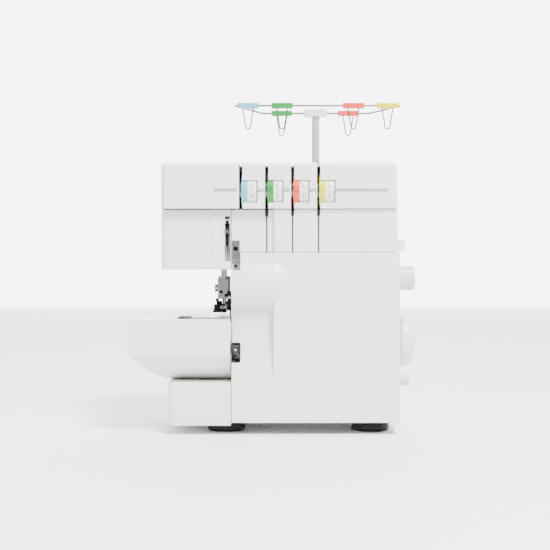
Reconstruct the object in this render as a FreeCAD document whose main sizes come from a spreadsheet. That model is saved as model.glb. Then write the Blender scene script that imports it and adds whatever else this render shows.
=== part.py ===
import FreeCAD, Part
import math
import os
import re

import Sketcher

# A four-thread domestic serger (overlock machine), built as an assembly.
# Frame: +X is the operator's right, +Y points away from the operator and +Z is up.
# The origin lies on the table top, under the middle of the machine's overall box.
# Units are millimetres.

DIMENSIONS = {
    # overall
    "half_width": 162,
    "half_depth": 142,
    "body_depth": 160,
    "body_top": 300,
    "wall": 2.5,
    "seam": 0.6,
    # heights of the casing joints
    "foot_height": 10,
    "foot_radius": 21.5,
    "floor_thick": 3,
    "base_top": 57,
    "bed_height": 127,
    "head_bottom": 182,
    "door_top": 200.5,
    "lip_height": 249,
    # sideways reach of the casings from the origin
    "head_reach": 126,
    "base_reach": 119,
    "side_reach": 138,
    "top_reach": 135,
    # front relief
    "bulge_proud": 8,
    "bulge_radius": 30,
    "bulge_height": 168,
    "bulge_end": 3,
    "panel_step": 3,
    "face_step": 8,
    "step_at": 0.7,
    "recess_depth": 11,
    "recess_right": 1.5,
    "recess_bottom": 58,
    "recess_top": 150,
    # looper door and its hinge
    "door_depth": 22,
    "hinge_back": 8,
    "hinge_height": 19,
    "hinge_radius": 2.5,
    # thread channels and tension dials
    "needle_to_slot": 21.2,
    "slot_pitch": 28.6,
    "slot_width": 3.6,
    "slot_foot": 241,
    "groove_width": 1.6,
    "dial_radius": 20,
    "dial_width": 15.6,
    "dial_proud": 3,
    "dial_height": 268,
    "tension_rod": 2.5,
    # cloth table and free arm
    "table_proud": 2,
    "table_depth": 150,
    "table_crease": 89,
    "table_keel": 46,
    "keel_radius": 76,
    "arm_reach": 112,
    "arm_front": 12,
    "arm_depth": 76,
    "plate_thick": 2,
    "plate_length": 46,
    "plate_depth": 52,
    # needle and presser line
    "needle_x": 59,
    "needle_to_column": 11,
    "needle_back": 60,
    "needle_bar_radius": 3.5,
    "presser_back": 76,
    "presser_bar_radius": 3,
    # drive
    "shaft_radius": 5,
    "shaft_back": 90,
    "shaft_height": 98,
    "wheel_radius": 31,
    "wheel_width": 20,
    "pulley_radius": 27,
    "motor_back": 132,
    "motor_height": 52,
    "motor_pulley_radius": 9,
    "belt_width": 8,
    "belt_thick": 2.2,
    # side dials
    "stitch_dial_radius": 14,
    "stitch_dial_reach": 21,
    "feed_dial_radius": 7.5,
    "feed_dial_reach": 16,
    # spool stand and thread tree
    "stand_left": 54,
    "stand_bottom": 204,
    "stand_thick": 15,
    "pin_pitch": 54,
    "pin_back": 54,
    "pin_radius": 3,
    "pin_length": 78,
    "pole_back": 89,
    "pole_radius": 5,
    "pole_top": 383,
    "guide_half_front": 106.5,
    "guide_half_rear": 71,
    "guide_depth": 71,
    "guide_wire": 1.2,
    "hook_wire": 0.8,
    # fits
    "running": 0.08,
    "gap": 0.3,
}

doc = FreeCAD.newDocument("serger")
sheet = doc.addObject("Spreadsheet::Sheet", "Dims")
for row, (alias, number) in enumerate(DIMENSIONS.items(), 1):
    sheet.set("A%d" % row, alias.replace("_", " "))
    sheet.set("B%d" % row, str(number))
    sheet.setAlias("B%d" % row, alias)
doc.recompute()

ALIASES = re.compile(r"\b(" + "|".join(DIMENSIONS) + r")\b")
TURNS = {
    "X": FreeCAD.Rotation(FreeCAD.Vector(0, 1, 0), 90),
    "Y": FreeCAD.Rotation(FreeCAD.Vector(1, 0, 0), -90),
    "Z": FreeCAD.Rotation(),
}
nodes = []
made = {}


# ---------------------------------------------------------------- helpers
def sheet_text(text):
    """An expression in plain names, with each name sent to the sheet."""
    return ALIASES.sub(r"Dims.\1", str(text))


def value(text):
    """The number that an expression stands for now."""
    return float(sheet.evalExpression(sheet_text(text)))


def bind(thing, prop, text):
    thing.setExpression(prop, sheet_text(text))


def unique(name):
    made[name] = made.get(name, 0) + 1
    return name if made[name] == 1 else "%s_%d" % (name, made[name])


def place(thing, at):
    for axis, text in zip("xyz", at):
        bind(thing, "Placement.Base." + axis, text)
    return thing


def block(name, size, at):
    """A plain box: its three sizes, and the place of its low corner."""
    thing = doc.addObject("Part::Box", unique(name))
    for prop, text in zip(("Length", "Width", "Height"), size):
        bind(thing, prop, text)
    return place(thing, at)


def span(name, x, y, z):
    """A plain box between pairs of low and high coordinates."""
    size = ["(%s) - (%s)" % (high, low) for low, high in (x, y, z)]
    return block(name, size, [x[0], y[0], z[0]])


def rod(name, radius, length, at, along="Z"):
    """A cylinder that starts at a point and runs along an axis."""
    thing = doc.addObject("Part::Cylinder", unique(name))
    bind(thing, "Radius", radius)
    bind(thing, "Height", length)
    thing.Placement = FreeCAD.Placement(FreeCAD.Vector(), TURNS[along])
    return place(thing, at)


def cone(name, low, high, length, at, along="Z"):
    thing = doc.addObject("Part::Cone", unique(name))
    bind(thing, "Radius1", low)
    bind(thing, "Radius2", high)
    bind(thing, "Height", length)
    thing.Placement = FreeCAD.Placement(FreeCAD.Vector(), TURNS[along])
    return place(thing, at)


def ball(name, radius, at):
    thing = doc.addObject("Part::Sphere", unique(name))
    bind(thing, "Radius", radius)
    return place(thing, at)


def fuse(name, *parts):
    thing = doc.addObject("Part::MultiFuse", unique(name))
    thing.Shapes = list(parts)
    return thing


def cut(name, base, *tools):
    thing = doc.addObject("Part::Cut", unique(name))
    thing.Base = base
    thing.Tool = tools[0] if len(tools) == 1 else fuse(name + "_tools", *tools)
    return thing


def common(name, *parts):
    thing = doc.addObject("Part::MultiCommon", unique(name))
    thing.Shapes = list(parts)
    return thing


def group(name, *parts):
    """Several separate solids that share one node."""
    thing = doc.addObject("Part::Compound", unique(name))
    thing.Links = list(parts)
    return thing


def node(thing, label):
    thing.Label = label
    nodes.append(thing)
    return thing


def sketch_on(body, role, points, arcs=None):
    """A closed outline whose corners are bound to the sheet. arcs gives segment: (radius, bulges left)."""
    arcs = arcs or {}
    drawing = body.newObject("Sketcher::SketchObject", unique("outline"))
    plane = [p for p in body.Origin.OriginFeatures if p.Role == role][0]
    drawing.AttachmentSupport = (plane, "")
    drawing.MapMode = "FlatFace"
    corners = [FreeCAD.Vector(value(u), value(v), 0) for u, v in points]
    count = len(corners)
    for i, start in enumerate(corners):
        end = corners[(i + 1) % count]
        if i in arcs:
            radius, left = arcs[i]
            chord = end - start
            half = chord.Length / 2
            rise = value(radius) - math.sqrt(value(radius) ** 2 - half**2)
            side = FreeCAD.Vector(-chord.y, chord.x, 0).normalize() * (rise if left else -rise)
            middle = (start + end) * 0.5 + side
            drawing.addGeometry(Part.ArcOfCircle(start, middle, end), False)
        else:
            drawing.addGeometry(Part.LineSegment(start, end), False)
    ends = []
    for i in range(count):
        arc = drawing.Geometry[i]
        forward = not isinstance(arc, Part.ArcOfCircle) or arc.StartPoint.isEqual(corners[i], 1e-6)
        ends.append((1, 2) if forward else (2, 1))
    for i in range(count):
        following = (i + 1) % count
        drawing.addConstraint(Sketcher.Constraint("Coincident", i, ends[i][1], following, ends[following][0]))
    for i, (u, v) in enumerate(points):
        for kind, text in (("DistanceX", u), ("DistanceY", v)):
            rule = drawing.addConstraint(Sketcher.Constraint(kind, -1, 1, i, ends[i][0], value(text)))
            bind(drawing, "Constraints[%d]" % rule, text)
        if i in arcs:
            rule = drawing.addConstraint(Sketcher.Constraint("Radius", i, value(arcs[i][0])))
            bind(drawing, "Constraints[%d]" % rule, arcs[i][0])
    return drawing


def slab(name, role, points, thick, at, arcs=None):
    """An outline padded along +X, +Y or +Z from the point given."""
    body = doc.addObject("PartDesign::Body", unique(name))
    drawing = sketch_on(body, role, points, arcs)
    pad = body.newObject("PartDesign::Pad", unique(name + "_pad"))
    pad.Profile = drawing
    pad.Reversed = role == "XZ_Plane"
    bind(pad, "Length", thick)
    drawing.Visibility = False
    return place(body, at)


def turned(name, points, at, along="Z"):
    """A turned piece: an outline of (radius, height) spun about its axis."""
    body = doc.addObject("PartDesign::Body", unique(name))
    drawing = sketch_on(body, "XZ_Plane", points)
    spun = body.newObject("PartDesign::Revolution", unique(name + "_spin"))
    spun.Profile = drawing
    spun.ReferenceAxis = (drawing, ["V_Axis"])
    spun.Angle = 360
    body.Placement = FreeCAD.Placement(FreeCAD.Vector(), TURNS[along])
    return place(body, at)


def soft_block(name, size, at):
    """A box as a body, so that its edges can be rounded afterwards."""
    body = doc.addObject("PartDesign::Body", unique(name))
    core = body.newObject("PartDesign::AdditiveBox", unique(name + "_core"))
    for prop, text in zip(("Length", "Width", "Height"), size):
        bind(core, prop, text)
    return place(body, at)


def soft_span(name, x, y, z):
    size = ["(%s) - (%s)" % (high, low) for low, high in (x, y, z)]
    return soft_block(name, size, [x[0], y[0], z[0]])


def edge_names(body, along=None, rim=None, **sides):
    """Names of a body's edges: straight ones along an axis, or all those in an extreme face."""
    tip = body.Tip.Shape
    box = tip.BoundBox
    low = dict(zip("xyz", (box.XMin, box.YMin, box.ZMin)))
    high = dict(zip("xyz", (box.XMax, box.YMax, box.ZMax)))
    found = []
    for number, edge in enumerate(tip.Edges, 1):
        own = edge.BoundBox
        reach = {"x": (own.XMin, own.XMax), "y": (own.YMin, own.YMax), "z": (own.ZMin, own.ZMax)}
        if along is not None:
            across = [reach[a][1] - reach[a][0] for a in "xyz" if a != along]
            if max(across) > 1e-4:
                continue
        if rim is not None:
            extreme = high[rim[1]] if rim[0] == "+" else low[rim[1]]
            if abs(reach[rim[1]][0] - extreme) > 1e-4 or abs(reach[rim[1]][1] - extreme) > 1e-4:
                continue
        if any(
            abs(sum(reach[a]) / 2 - (high[a] if side == "high" else low[a])) > 1e-4
            for a, side in sides.items()
        ):
            continue
        found.append("Edge%d" % number)
    return found


def rounded(body, radius, **choice):
    """Rounds the chosen edges of a body."""
    doc.recompute()
    chosen = (body.Tip, edge_names(body, **choice))
    rounding = body.newObject("PartDesign::Fillet", unique(body.Name + "_round"))
    rounding.Base = chosen
    bind(rounding, "Radius", radius)
    body.Tip = rounding
    return body


# ---------------------------------------------------------------- shared places
FRONT = "(bulge_proud - half_depth)"
REAR = "(bulge_proud - half_depth + body_depth)"
FLOOR = "(foot_height + floor_thick)"
COLUMN = "(needle_to_column - needle_x)"
FACE = "(%s + face_step)" % FRONT
PANEL = "(%s + panel_step)" % FRONT
CASING_FRONT = "(%s + door_depth + seam)" % FRONT
NEEDLE_Y = "(%s + needle_back)" % FRONT
PRESSER_Y = "(%s + presser_back)" % FRONT
SHAFT_Y = "(%s + shaft_back)" % FRONT
MOTOR_Y = "(%s + motor_back)" % FRONT
DIAL_Y = "(%s + dial_radius - dial_proud)" % FRONT
SLOTS = ["(slot_pitch * %d + needle_to_slot - needle_x)" % i for i in range(4)]
THREADS = ["blue", "green", "red", "yellow"]
STAND_TOP = "(stand_bottom + stand_thick)"
POLE_X = "((half_width - stand_left) / 2)"
POLE_Y = "(%s + pole_back)" % REAR
PIN_Y = "(%s + pin_back)" % REAR
HANDLE_PIVOT = ("(%s - 26.5)" % REAR, "(body_top - 4.6)")
LOWER_PIVOT = ("(31 - needle_x)", "52")
UPPER_PIVOT = ("(55 - needle_x)", "60")


# ---------------------------------------------------------------- base
def make_base():
    # Moulded floor of the machine. It stops short of the looper door, whose lower edge swings under it.
    floor = soft_span(
        "floor_slab", ("-base_reach", "side_reach"), (FRONT, REAR), ("foot_height", FLOOR)
    )
    rounded(floor, "8", along="z")
    notch = span(
        "door_sweep",
        (COLUMN + " - seam", "side_reach + 1"),
        (FRONT + " - 1", FRONT + " + door_depth"),
        ("foot_height - 1", FLOOR + " + 1"),
    )
    brackets = []
    hinge_y = "(%s + hinge_back)" % FRONT
    for x in ("-34", "122"):
        brackets.append(
            span(
                "hinge_bracket",
                (x, x + " + 4"),
                (hinge_y, FRONT + " + door_depth + 6"),
                ("hinge_height - 4.8", "hinge_height + 5"),
            )
        )
        brackets.append(
            span(
                "bracket_foot",
                (x, x + " + 4"),
                (FRONT + " + door_depth", FRONT + " + door_depth + 6"),
                ("foot_height + 1", "hinge_height"),
            )
        )
        brackets.append(rod("hinge_eye", "5", "4", (x, hinge_y, "hinge_height"), "X"))
    pin = rod("hinge_pin", "hinge_radius", "160", ("-34", hinge_y, "hinge_height"), "X")
    floor_cut = cut("floor_cut", floor, notch)
    node(fuse("floor_whole", floor_cut, pin, *brackets), "base_plate")

    # Four rubber suction feet.
    profile = [
        ("0", "1.5"),
        ("14", "1.5"),
        ("15.5", "0"),
        ("19.5", "0"),
        ("foot_radius", "2.5"),
        ("foot_radius - 1", "7"),
        ("foot_radius - 7", "foot_height"),
        ("0", "foot_height"),
    ]
    feet = []
    for x in ("-55.5", "108"):
        for y in (FRONT + " + 42", REAR + " - 30"):
            feet.append(turned("foot", profile, (x, y, "0")))
    node(group("feet", *feet), "rubber_feet")

    # Left base casing, under the cloth table.
    outer = soft_span(
        "left_base", ("-base_reach", COLUMN + " - seam"), (FRONT, REAR), (FLOOR, "base_top")
    )
    rounded(outer, "8", along="z", x="low")
    inner = span(
        "left_base_hollow",
        ("wall - base_reach", COLUMN + " + 1"),
        (FRONT + " + wall", REAR + " - wall"),
        (FLOOR + " - 1", "base_top - wall"),
    )
    node(cut("left_base_shell", outer, inner), "left_base_cover")


# ---------------------------------------------------------------- cloth table and free arm
def boat(name, inset, right):
    """The table's outline: a front silhouette with a curved keel, crossed with its side profile."""
    top = "bed_height - (%s)" % inset
    left = "(%s) - half_width" % inset
    crease = "table_crease"
    bottom = "base_top + 0.4 + (%s)" % inset
    silhouette = slab(
        name + "_front",
        "XZ_Plane",
        [
            (left, top),
            (left, crease),
            ("table_keel - half_width + (%s)" % inset, bottom),
            (right, bottom),
            (right, top),
        ],
        "table_depth - 2 * (%s)" % inset,
        ("0", "%s - table_proud + (%s)" % (FRONT, inset), "0"),
        {1: ("keel_radius", False)},
    )
    near = "0"
    far = "table_depth - 2 * (%s)" % inset
    profile = slab(
        name + "_side",
        "YZ_Plane",
        [(near, top), (near, crease), ("table_keel", bottom), (far, bottom), (far, top)],
        "(%s) - (%s)" % (right, left),
        (left, "%s - table_proud + (%s)" % (FRONT, inset), "0"),
        {1: ("keel_radius", False)},
    )
    return common(name + "_hull", silhouette, profile)


def make_table():
    outer = boat("table", "0", COLUMN + " - 1.4")
    inner = boat("table_hollow", "wall", COLUMN + " + 2")
    throat = span(
        "arm_way",
        ("-arm_reach - gap", COLUMN + " + 2"),
        (FRONT + " + arm_front - gap", FRONT + " + arm_front + arm_depth + gap"),
        ("bed_height - 20", "bed_height + 1"),
    )
    node(cut("table_shell", outer, inner, throat), "cloth_table")

    # Free arm: the narrow bed that stays when the table is pulled off to the left.
    arm = soft_span(
        "arm",
        ("-arm_reach", COLUMN + " - gap"),
        (FRONT + " + arm_front", FRONT + " + arm_front + arm_depth"),
        ("base_top + 5", "bed_height"),
    )
    rounded(arm, "10", along="z", x="low")
    hollow = span(
        "arm_hollow",
        ("wall - arm_reach", COLUMN + " + 1"),
        (FRONT + " + arm_front + wall", FRONT + " + arm_front + arm_depth - wall"),
        ("base_top + 5 + wall", "bed_height - 2 * plate_thick"),
    )
    left = "(%s - gap - 1 - plate_length)" % COLUMN
    front = "(%s - plate_depth / 2 + 2)" % NEEDLE_Y
    arm = common("arm_in_table", arm, boat("arm_limit", "wall + 1.2", COLUMN + " + 4"))
    hollow = common("arm_space", hollow, boat("arm_space_limit", "2 * wall + 1.2", COLUMN + " + 4"))
    pocket = span(
        "plate_pocket",
        (left + " - gap", COLUMN + " + 1"),
        (front + " - gap", front + " + plate_depth + gap"),
        ("bed_height - plate_thick", "bed_height + 1"),
    )
    window = span(
        "plate_window",
        (left + " + 4", COLUMN + " + 1"),
        (front + " + 4", front + " + plate_depth - 4"),
        ("bed_height - 4 * plate_thick", "bed_height + 1"),
    )
    node(cut("arm_shell", arm, hollow, pocket, window), "free_arm_shell")

    # Needle plate with its needle slot, feed-dog slots and knife notch.
    plate = span(
        "plate",
        (left, COLUMN + " - gap - 1"),
        (front, front + " + plate_depth"),
        ("bed_height - plate_thick", "bed_height"),
    )
    below = "bed_height - plate_thick - 1"
    above = "bed_height + 1"
    needle_slot = span(
        "needle_slot",
        ("-needle_x - 3", "-needle_x + 3"),
        (NEEDLE_Y + " - 2", NEEDLE_Y + " + 2"),
        (below, above),
    )
    cuts = [needle_slot]
    for offset in ("-7", "1"):
        cuts.append(
            span(
                "feed_slot",
                ("-needle_x + (%s)" % offset, "-needle_x + (%s) + 5" % offset),
                (NEEDLE_Y + " + 3.5", NEEDLE_Y + " + 24"),
                (below, above),
            )
        )
    cuts.append(
        span(
            "knife_notch",
            ("-needle_x + 5", COLUMN + " + 1"),
            (NEEDLE_Y + " - 16", NEEDLE_Y + " - 3"),
            (below, above),
        )
    )
    node(cut("plate_cut", plate, *cuts), "needle_plate")


# ---------------------------------------------------------------- casings
def make_casings():
    # Rear casing: right side, back and inner left side of the column, and the arm above it.
    column = soft_span(
        "column", (COLUMN, "side_reach"), (CASING_FRONT, REAR), (FLOOR, "door_top")
    )
    rounded(column, "10", along="z", x="high", y="high")
    arm = soft_span(
        "arm_back",
        (COLUMN, "top_reach"),
        (CASING_FRONT, REAR),
        ("door_top", "lip_height - seam"),
    )
    rounded(arm, "10", along="z", x="high", y="high")
    column_hollow = span(
        "column_hollow",
        (COLUMN + " + wall", "side_reach - wall"),
        (CASING_FRONT + " - 1", REAR + " - wall"),
        (FLOOR + " - 1", "door_top - wall"),
    )
    arm_hollow = span(
        "arm_back_hollow",
        (COLUMN + " + wall", "top_reach - wall"),
        (CASING_FRONT + " - 1", REAR + " - wall"),
        ("door_top - 2 * wall", "lip_height + 1"),
    )
    head_way = span(
        "head_way",
        (COLUMN + " - 1", COLUMN + " + wall + 1"),
        (CASING_FRONT + " - 1", REAR + " - wall"),
        ("head_bottom + wall", "lip_height + 1"),
    )
    arm_way = span(
        "free_arm_way",
        (COLUMN + " - 1", COLUMN + " + wall + 1"),
        (CASING_FRONT + " - 1", FRONT + " + arm_front + arm_depth - 2 * wall"),
        ("base_top + 6", "bed_height - 1"),
    )
    holes = [
        span(
            "knife_arm_way",
            (COLUMN + " - 1", COLUMN + " + wall + 1"),
            (NEEDLE_Y + " - 18", NEEDLE_Y + " - 6"),
            ("144", "172"),
        ),
        rod("shaft_hole", "shaft_radius + 2", "30", ("side_reach - 20", SHAFT_Y, "shaft_height"), "X"),
        rod("stitch_hole", "4 + gap", "30", ("side_reach - 20", FRONT + " + 45", "172"), "X"),
        rod("feed_hole", "3 + gap", "30", ("side_reach - 20", FRONT + " + 45", "57"), "X"),
        span(
            "switch_hole",
            ("side_reach - 20", "side_reach + 1"),
            (REAR + " - 30 - gap", REAR + " - 14 + gap"),
            ("66 - gap", "90 + gap"),
        ),
        span(
            "inlet_hole",
            ("side_reach - 20", "side_reach + 1"),
            (REAR + " - 34 - gap", REAR + " - 10 + gap"),
            ("30 - gap", "50 + gap"),
        ),
    ]
    shell = cut(
        "rear_shell",
        fuse("rear_block", column, arm),
        column_hollow,
        arm_hollow,
        head_way,
        arm_way,
        *holes,
    )
    node(shell, "rear_casing")

    # Head casing: the needle end, open above and towards the arm.
    head = soft_span(
        "head", ("-head_reach", COLUMN + " - gap"), (FACE, REAR), ("head_bottom", "lip_height - seam")
    )
    rounded(head, "5", along="z", x="low")
    rounded(head, "1.6", rim="-z")
    head_hollow = span(
        "head_hollow",
        ("wall - head_reach", COLUMN + " + 1"),
        (FACE + " + wall", REAR + " - wall"),
        ("head_bottom + wall", "lip_height + 1"),
    )
    bar_way = span(
        "bar_way",
        ("-needle_x - 12", COLUMN + " + 1"),
        (NEEDLE_Y + " - 14", PRESSER_Y + " + 12"),
        ("head_bottom - 1", "head_bottom + wall + 1"),
    )
    thread_slot = span(
        "thread_slot",
        (COLUMN + " - 7.6", COLUMN + " - 2"),
        (FACE + " - 1", FACE + " + wall + 1"),
        ("head_bottom + 9", "lip_height - 8"),
    )
    lifter_slot = span(
        "lifter_slot",
        ("-needle_x - 15.5", "-needle_x - 7.5"),
        (REAR + " - wall - 1", REAR + " + 1"),
        ("head_bottom + 4", "head_bottom + 46"),
    )
    node(cut("head_shell", head, head_hollow, bar_way, thread_slot, lifter_slot), "head_cover")

    # Arm front panel: a shallow plate beside the head, then a box-shaped part standing forward of it.
    low = "door_top + seam"
    high = "lip_height - seam"
    step = "(-step_at)"
    plate = span(
        "panel_plate", (COLUMN + " + gap", step), (FACE, FACE + " + wall"), (low, high)
    )
    tongue = span(
        "panel_tongue",
        (COLUMN + " + gap", COLUMN + " + 9.5"),
        (FACE, FACE + " + wall"),
        ("head_bottom", "door_top + 2"),
    )
    forward = span("panel_box", (step, "top_reach"), (PANEL, CASING_FRONT + " - seam"), (low, high))
    hollow = span(
        "panel_hollow",
        (step + " + wall", "top_reach - wall"),
        (PANEL + " + wall", REAR),
        (low + " + wall", "lip_height + 1"),
    )
    cuts = [hollow]
    for number, x in enumerate(SLOTS[1:], 1):
        cuts.append(
            span(
                "panel_slot",
                (x + " - slot_width / 2", x + " + slot_width / 2"),
                (FRONT, FRONT + " + 14"),
                ("slot_foot", "lip_height + 1"),
            )
        )
        skin = FACE if number == 1 else PANEL
        cuts.append(
            span(
                "panel_groove",
                (x + " - groove_width / 2", x + " + groove_width / 2"),
                (skin + " - 1", skin + " + 1.2"),
                ("door_top", "slot_foot + 1"),
            )
        )
    node(cut("front_panel", fuse("panel_block", plate, tongue, forward), *cuts), "arm_front_panel")


def make_top_cover():
    outer = slab(
        "top_block",
        "YZ_Plane",
        [
            ("0", "0"),
            ("0", "body_top - lip_height"),
            ("body_depth", "body_top - lip_height"),
            ("body_depth", "0"),
        ],
        "top_reach + head_reach",
        ("-head_reach", FRONT, "lip_height"),
    )
    rounded(outer, "7", along="z")
    rounded(outer, "6", rim="+z")
    hollow = span(
        "top_hollow",
        ("wall - head_reach", "top_reach - wall"),
        (FRONT + " + wall", REAR + " - wall"),
        ("lip_height - 1", "body_top - wall"),
    )
    cuts = [hollow]
    for x in SLOTS:
        cuts.append(
            span(
                "thread_channel",
                (x + " - slot_width / 2", x + " + slot_width / 2"),
                (FRONT + " - 1", FRONT + " + 34"),
                ("lip_height - 1", "body_top + 1"),
            )
        )
        cuts.append(
            rod(
                "dial_window",
                "dial_radius + 0.8",
                "dial_width + 1.4",
                (x + " + slot_width / 2 - 0.4", DIAL_Y, "dial_height"),
                "X",
            )
        )
    # Hand hole for the folding carrying handle, and the hole for the presser adjuster.
    cuts.append(
        span(
            "handle_bay",
            ("-14", "104"),
            (REAR + " - 62", REAR + " - 22"),
            ("body_top - 9", "body_top + 1"),
        )
    )
    cuts.append(rod("adjuster_hole", "7 + gap", "20", ("-needle_x", PRESSER_Y, "body_top - 10"), "Z"))
    shell = cut("top_shell", outer, *cuts)
    tray = cut(
        "handle_tray",
        span(
            "handle_tray_block",
            ("-14 - wall", "104 + wall"),
            (REAR + " - 62 - wall", REAR + " - 22 + wall"),
            ("body_top - 9 - wall", "body_top - wall"),
        ),
        span(
            "handle_tray_hollow",
            ("-14", "104"),
            (REAR + " - 62", REAR + " - 22"),
            ("body_top - 9", "body_top + 1"),
        ),
    )
    pivots = rod(
        "handle_pivots", "1.8 + running", "121", ("-15.5", HANDLE_PIVOT[0], HANDLE_PIVOT[1]), "X"
    )
    node(cut("top_bored", fuse("top_with_tray", shell, tray), pivots), "top_cover")


def recess(name, grow, right):
    """Tool for the door's hand recess: shallow at the foot and full depth under the brow."""
    depth = "recess_depth + (%s)" % grow
    tool = slab(
        name,
        "YZ_Plane",
        [
            ("0", "recess_bottom - 2 * (%s)" % grow),
            ("20", "recess_bottom - 2 * (%s)" % grow),
            ("20 + %s" % depth, "recess_top - 38"),
            ("20 + %s" % depth, "recess_top"),
            ("0", "recess_top"),
        ],
        "1 - %s - (%s)" % (COLUMN, right),
        (COLUMN + " - 1", FRONT + " - 20", "0"),
    )
    return tool


def make_door():
    # Looper door: a shell with a rounded brow over the loopers and a hand recess below it.
    brow_y = "(%s - bulge_proud + bulge_radius)" % FRONT
    back = FRONT + " + door_depth - 1"
    length = "-%s - bulge_end" % COLUMN
    block_out = soft_span("door_block", (COLUMN, "side_reach"), (FRONT, back), (FLOOR, "door_top"))
    rounded(block_out, "6", along="z", x="high", y="low")
    rounded(block_out, "1.5", rim="-y")
    brow_room = span(
        "brow_room",
        (COLUMN, "side_reach"),
        (FRONT + " - 20", back),
        (FLOOR, "door_top"),
    )
    brow = fuse(
        "brow",
        rod("brow_tube", "bulge_radius", length, (COLUMN, brow_y, "bulge_height"), "X"),
        ball("brow_end", "bulge_radius", ("-bulge_end", brow_y, "bulge_height")),
    )
    outer = fuse(
        "door_outer",
        cut("door_face", block_out, recess("door_recess", "0", "recess_right")),
        common("brow_front", brow, brow_room),
    )
    block_in = span(
        "door_space",
        (COLUMN + " + wall", "side_reach - wall"),
        (FRONT + " + wall", back + " + 1"),
        (FLOOR + " - 1", "door_top - wall"),
    )
    brow_in = common(
        "brow_space",
        fuse(
            "brow_inner",
            rod(
                "brow_bore",
                "bulge_radius - wall",
                length + " - wall",
                (COLUMN + " + wall", brow_y, "bulge_height"),
                "X",
            ),
            ball("brow_bore_end", "bulge_radius - wall", ("-bulge_end", brow_y, "bulge_height")),
        ),
        span(
            "brow_space_room",
            (COLUMN + " + wall", "side_reach"),
            (FRONT + " - 20", back + " + 1"),
            (FLOOR, "door_top - wall"),
        ),
    )
    inner = fuse(
        "door_inner",
        cut("door_space_cut", block_in, recess("recess_back", "wall", "recess_right - wall")),
        brow_in,
    )
    corner = span(
        "door_corner",
        (COLUMN + " - 1", COLUMN + " + 9.8"),
        (FRONT + " - 20", FRONT + " + 40"),
        ("head_bottom - seam", "door_top + 1"),
    )
    latch_notch = span(
        "latch_notch",
        (COLUMN + " - 1", COLUMN + " + 9.5"),
        (FRONT + " - 20", FRONT + " + 40"),
        ("79", "100.5"),
    )
    top_relief = span(
        "top_relief",
        (COLUMN + " - 1", "side_reach - wall"),
        (FRONT + " + 12", FRONT + " + 40"),
        ("door_top - wall - 1", "door_top + 1"),
    )
    shell = cut("door_shell", outer, inner, corner, latch_notch, top_relief)
    lugs = []
    hinge_y = "(%s + hinge_back)" % FRONT
    for x in ("-20", "90"):
        lugs.append(
            cut(
                "door_lug",
                span(
                    "lug_block",
                    (x, x + " + 10"),
                    (FRONT + " + wall - 0.5", hinge_y + " + hinge_radius + 4.5"),
                    ("hinge_height - hinge_radius - 3.5", "hinge_height + hinge_radius + 4.5"),
                ),
                rod(
                    "lug_bore",
                    "hinge_radius + 2 + running",
                    "12",
                    (x + " - 1", hinge_y, "hinge_height"),
                    "X",
                ),
            )
        )
    node(fuse("door_whole", shell, *lugs), "looper_door")

    # The door turns on a sleeve, and the sleeve slides along the pin fixed to the floor.
    sleeve = cut(
        "sleeve_tube",
        rod("sleeve_out", "hinge_radius + 2", "124", ("-22", hinge_y, "hinge_height"), "X"),
        rod("sleeve_bore", "hinge_radius + running", "126", ("-23", hinge_y, "hinge_height"), "X"),
    )
    node(sleeve, "door_hinge_sleeve")


def make_table_latch():
    # Black thumb slide that frees the cloth table: a rail inside the table and a head outside it.
    front = "(%s + wall - table_proud + gap)" % FRONT
    rail = span("latch_rail", (COLUMN + " - 18", COLUMN + " + 3"), (front, front + " + 3"), ("90.5", "98.5"))
    right = COLUMN + " + 8.4"
    head = soft_span("latch_head", (COLUMN + " - 0.8", right), (front, front + " + 8"), ("89.8", "98.5"))
    rounded(head, "1.2", along="y")
    toe = soft_span("latch_toe", (COLUMN + " + 2.4", right), (front, front + " + 8"), ("84.5", "92"))
    rounded(toe, "1.2", along="y")
    ridge = span(
        "latch_ridge",
        (COLUMN + " + 2.6", COLUMN + " + 6.6"),
        (front + " - 2", front + " + 1"),
        ("88", "94"),
    )
    node(fuse("latch_whole", rail, head, toe, ridge), "table_latch")


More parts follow.
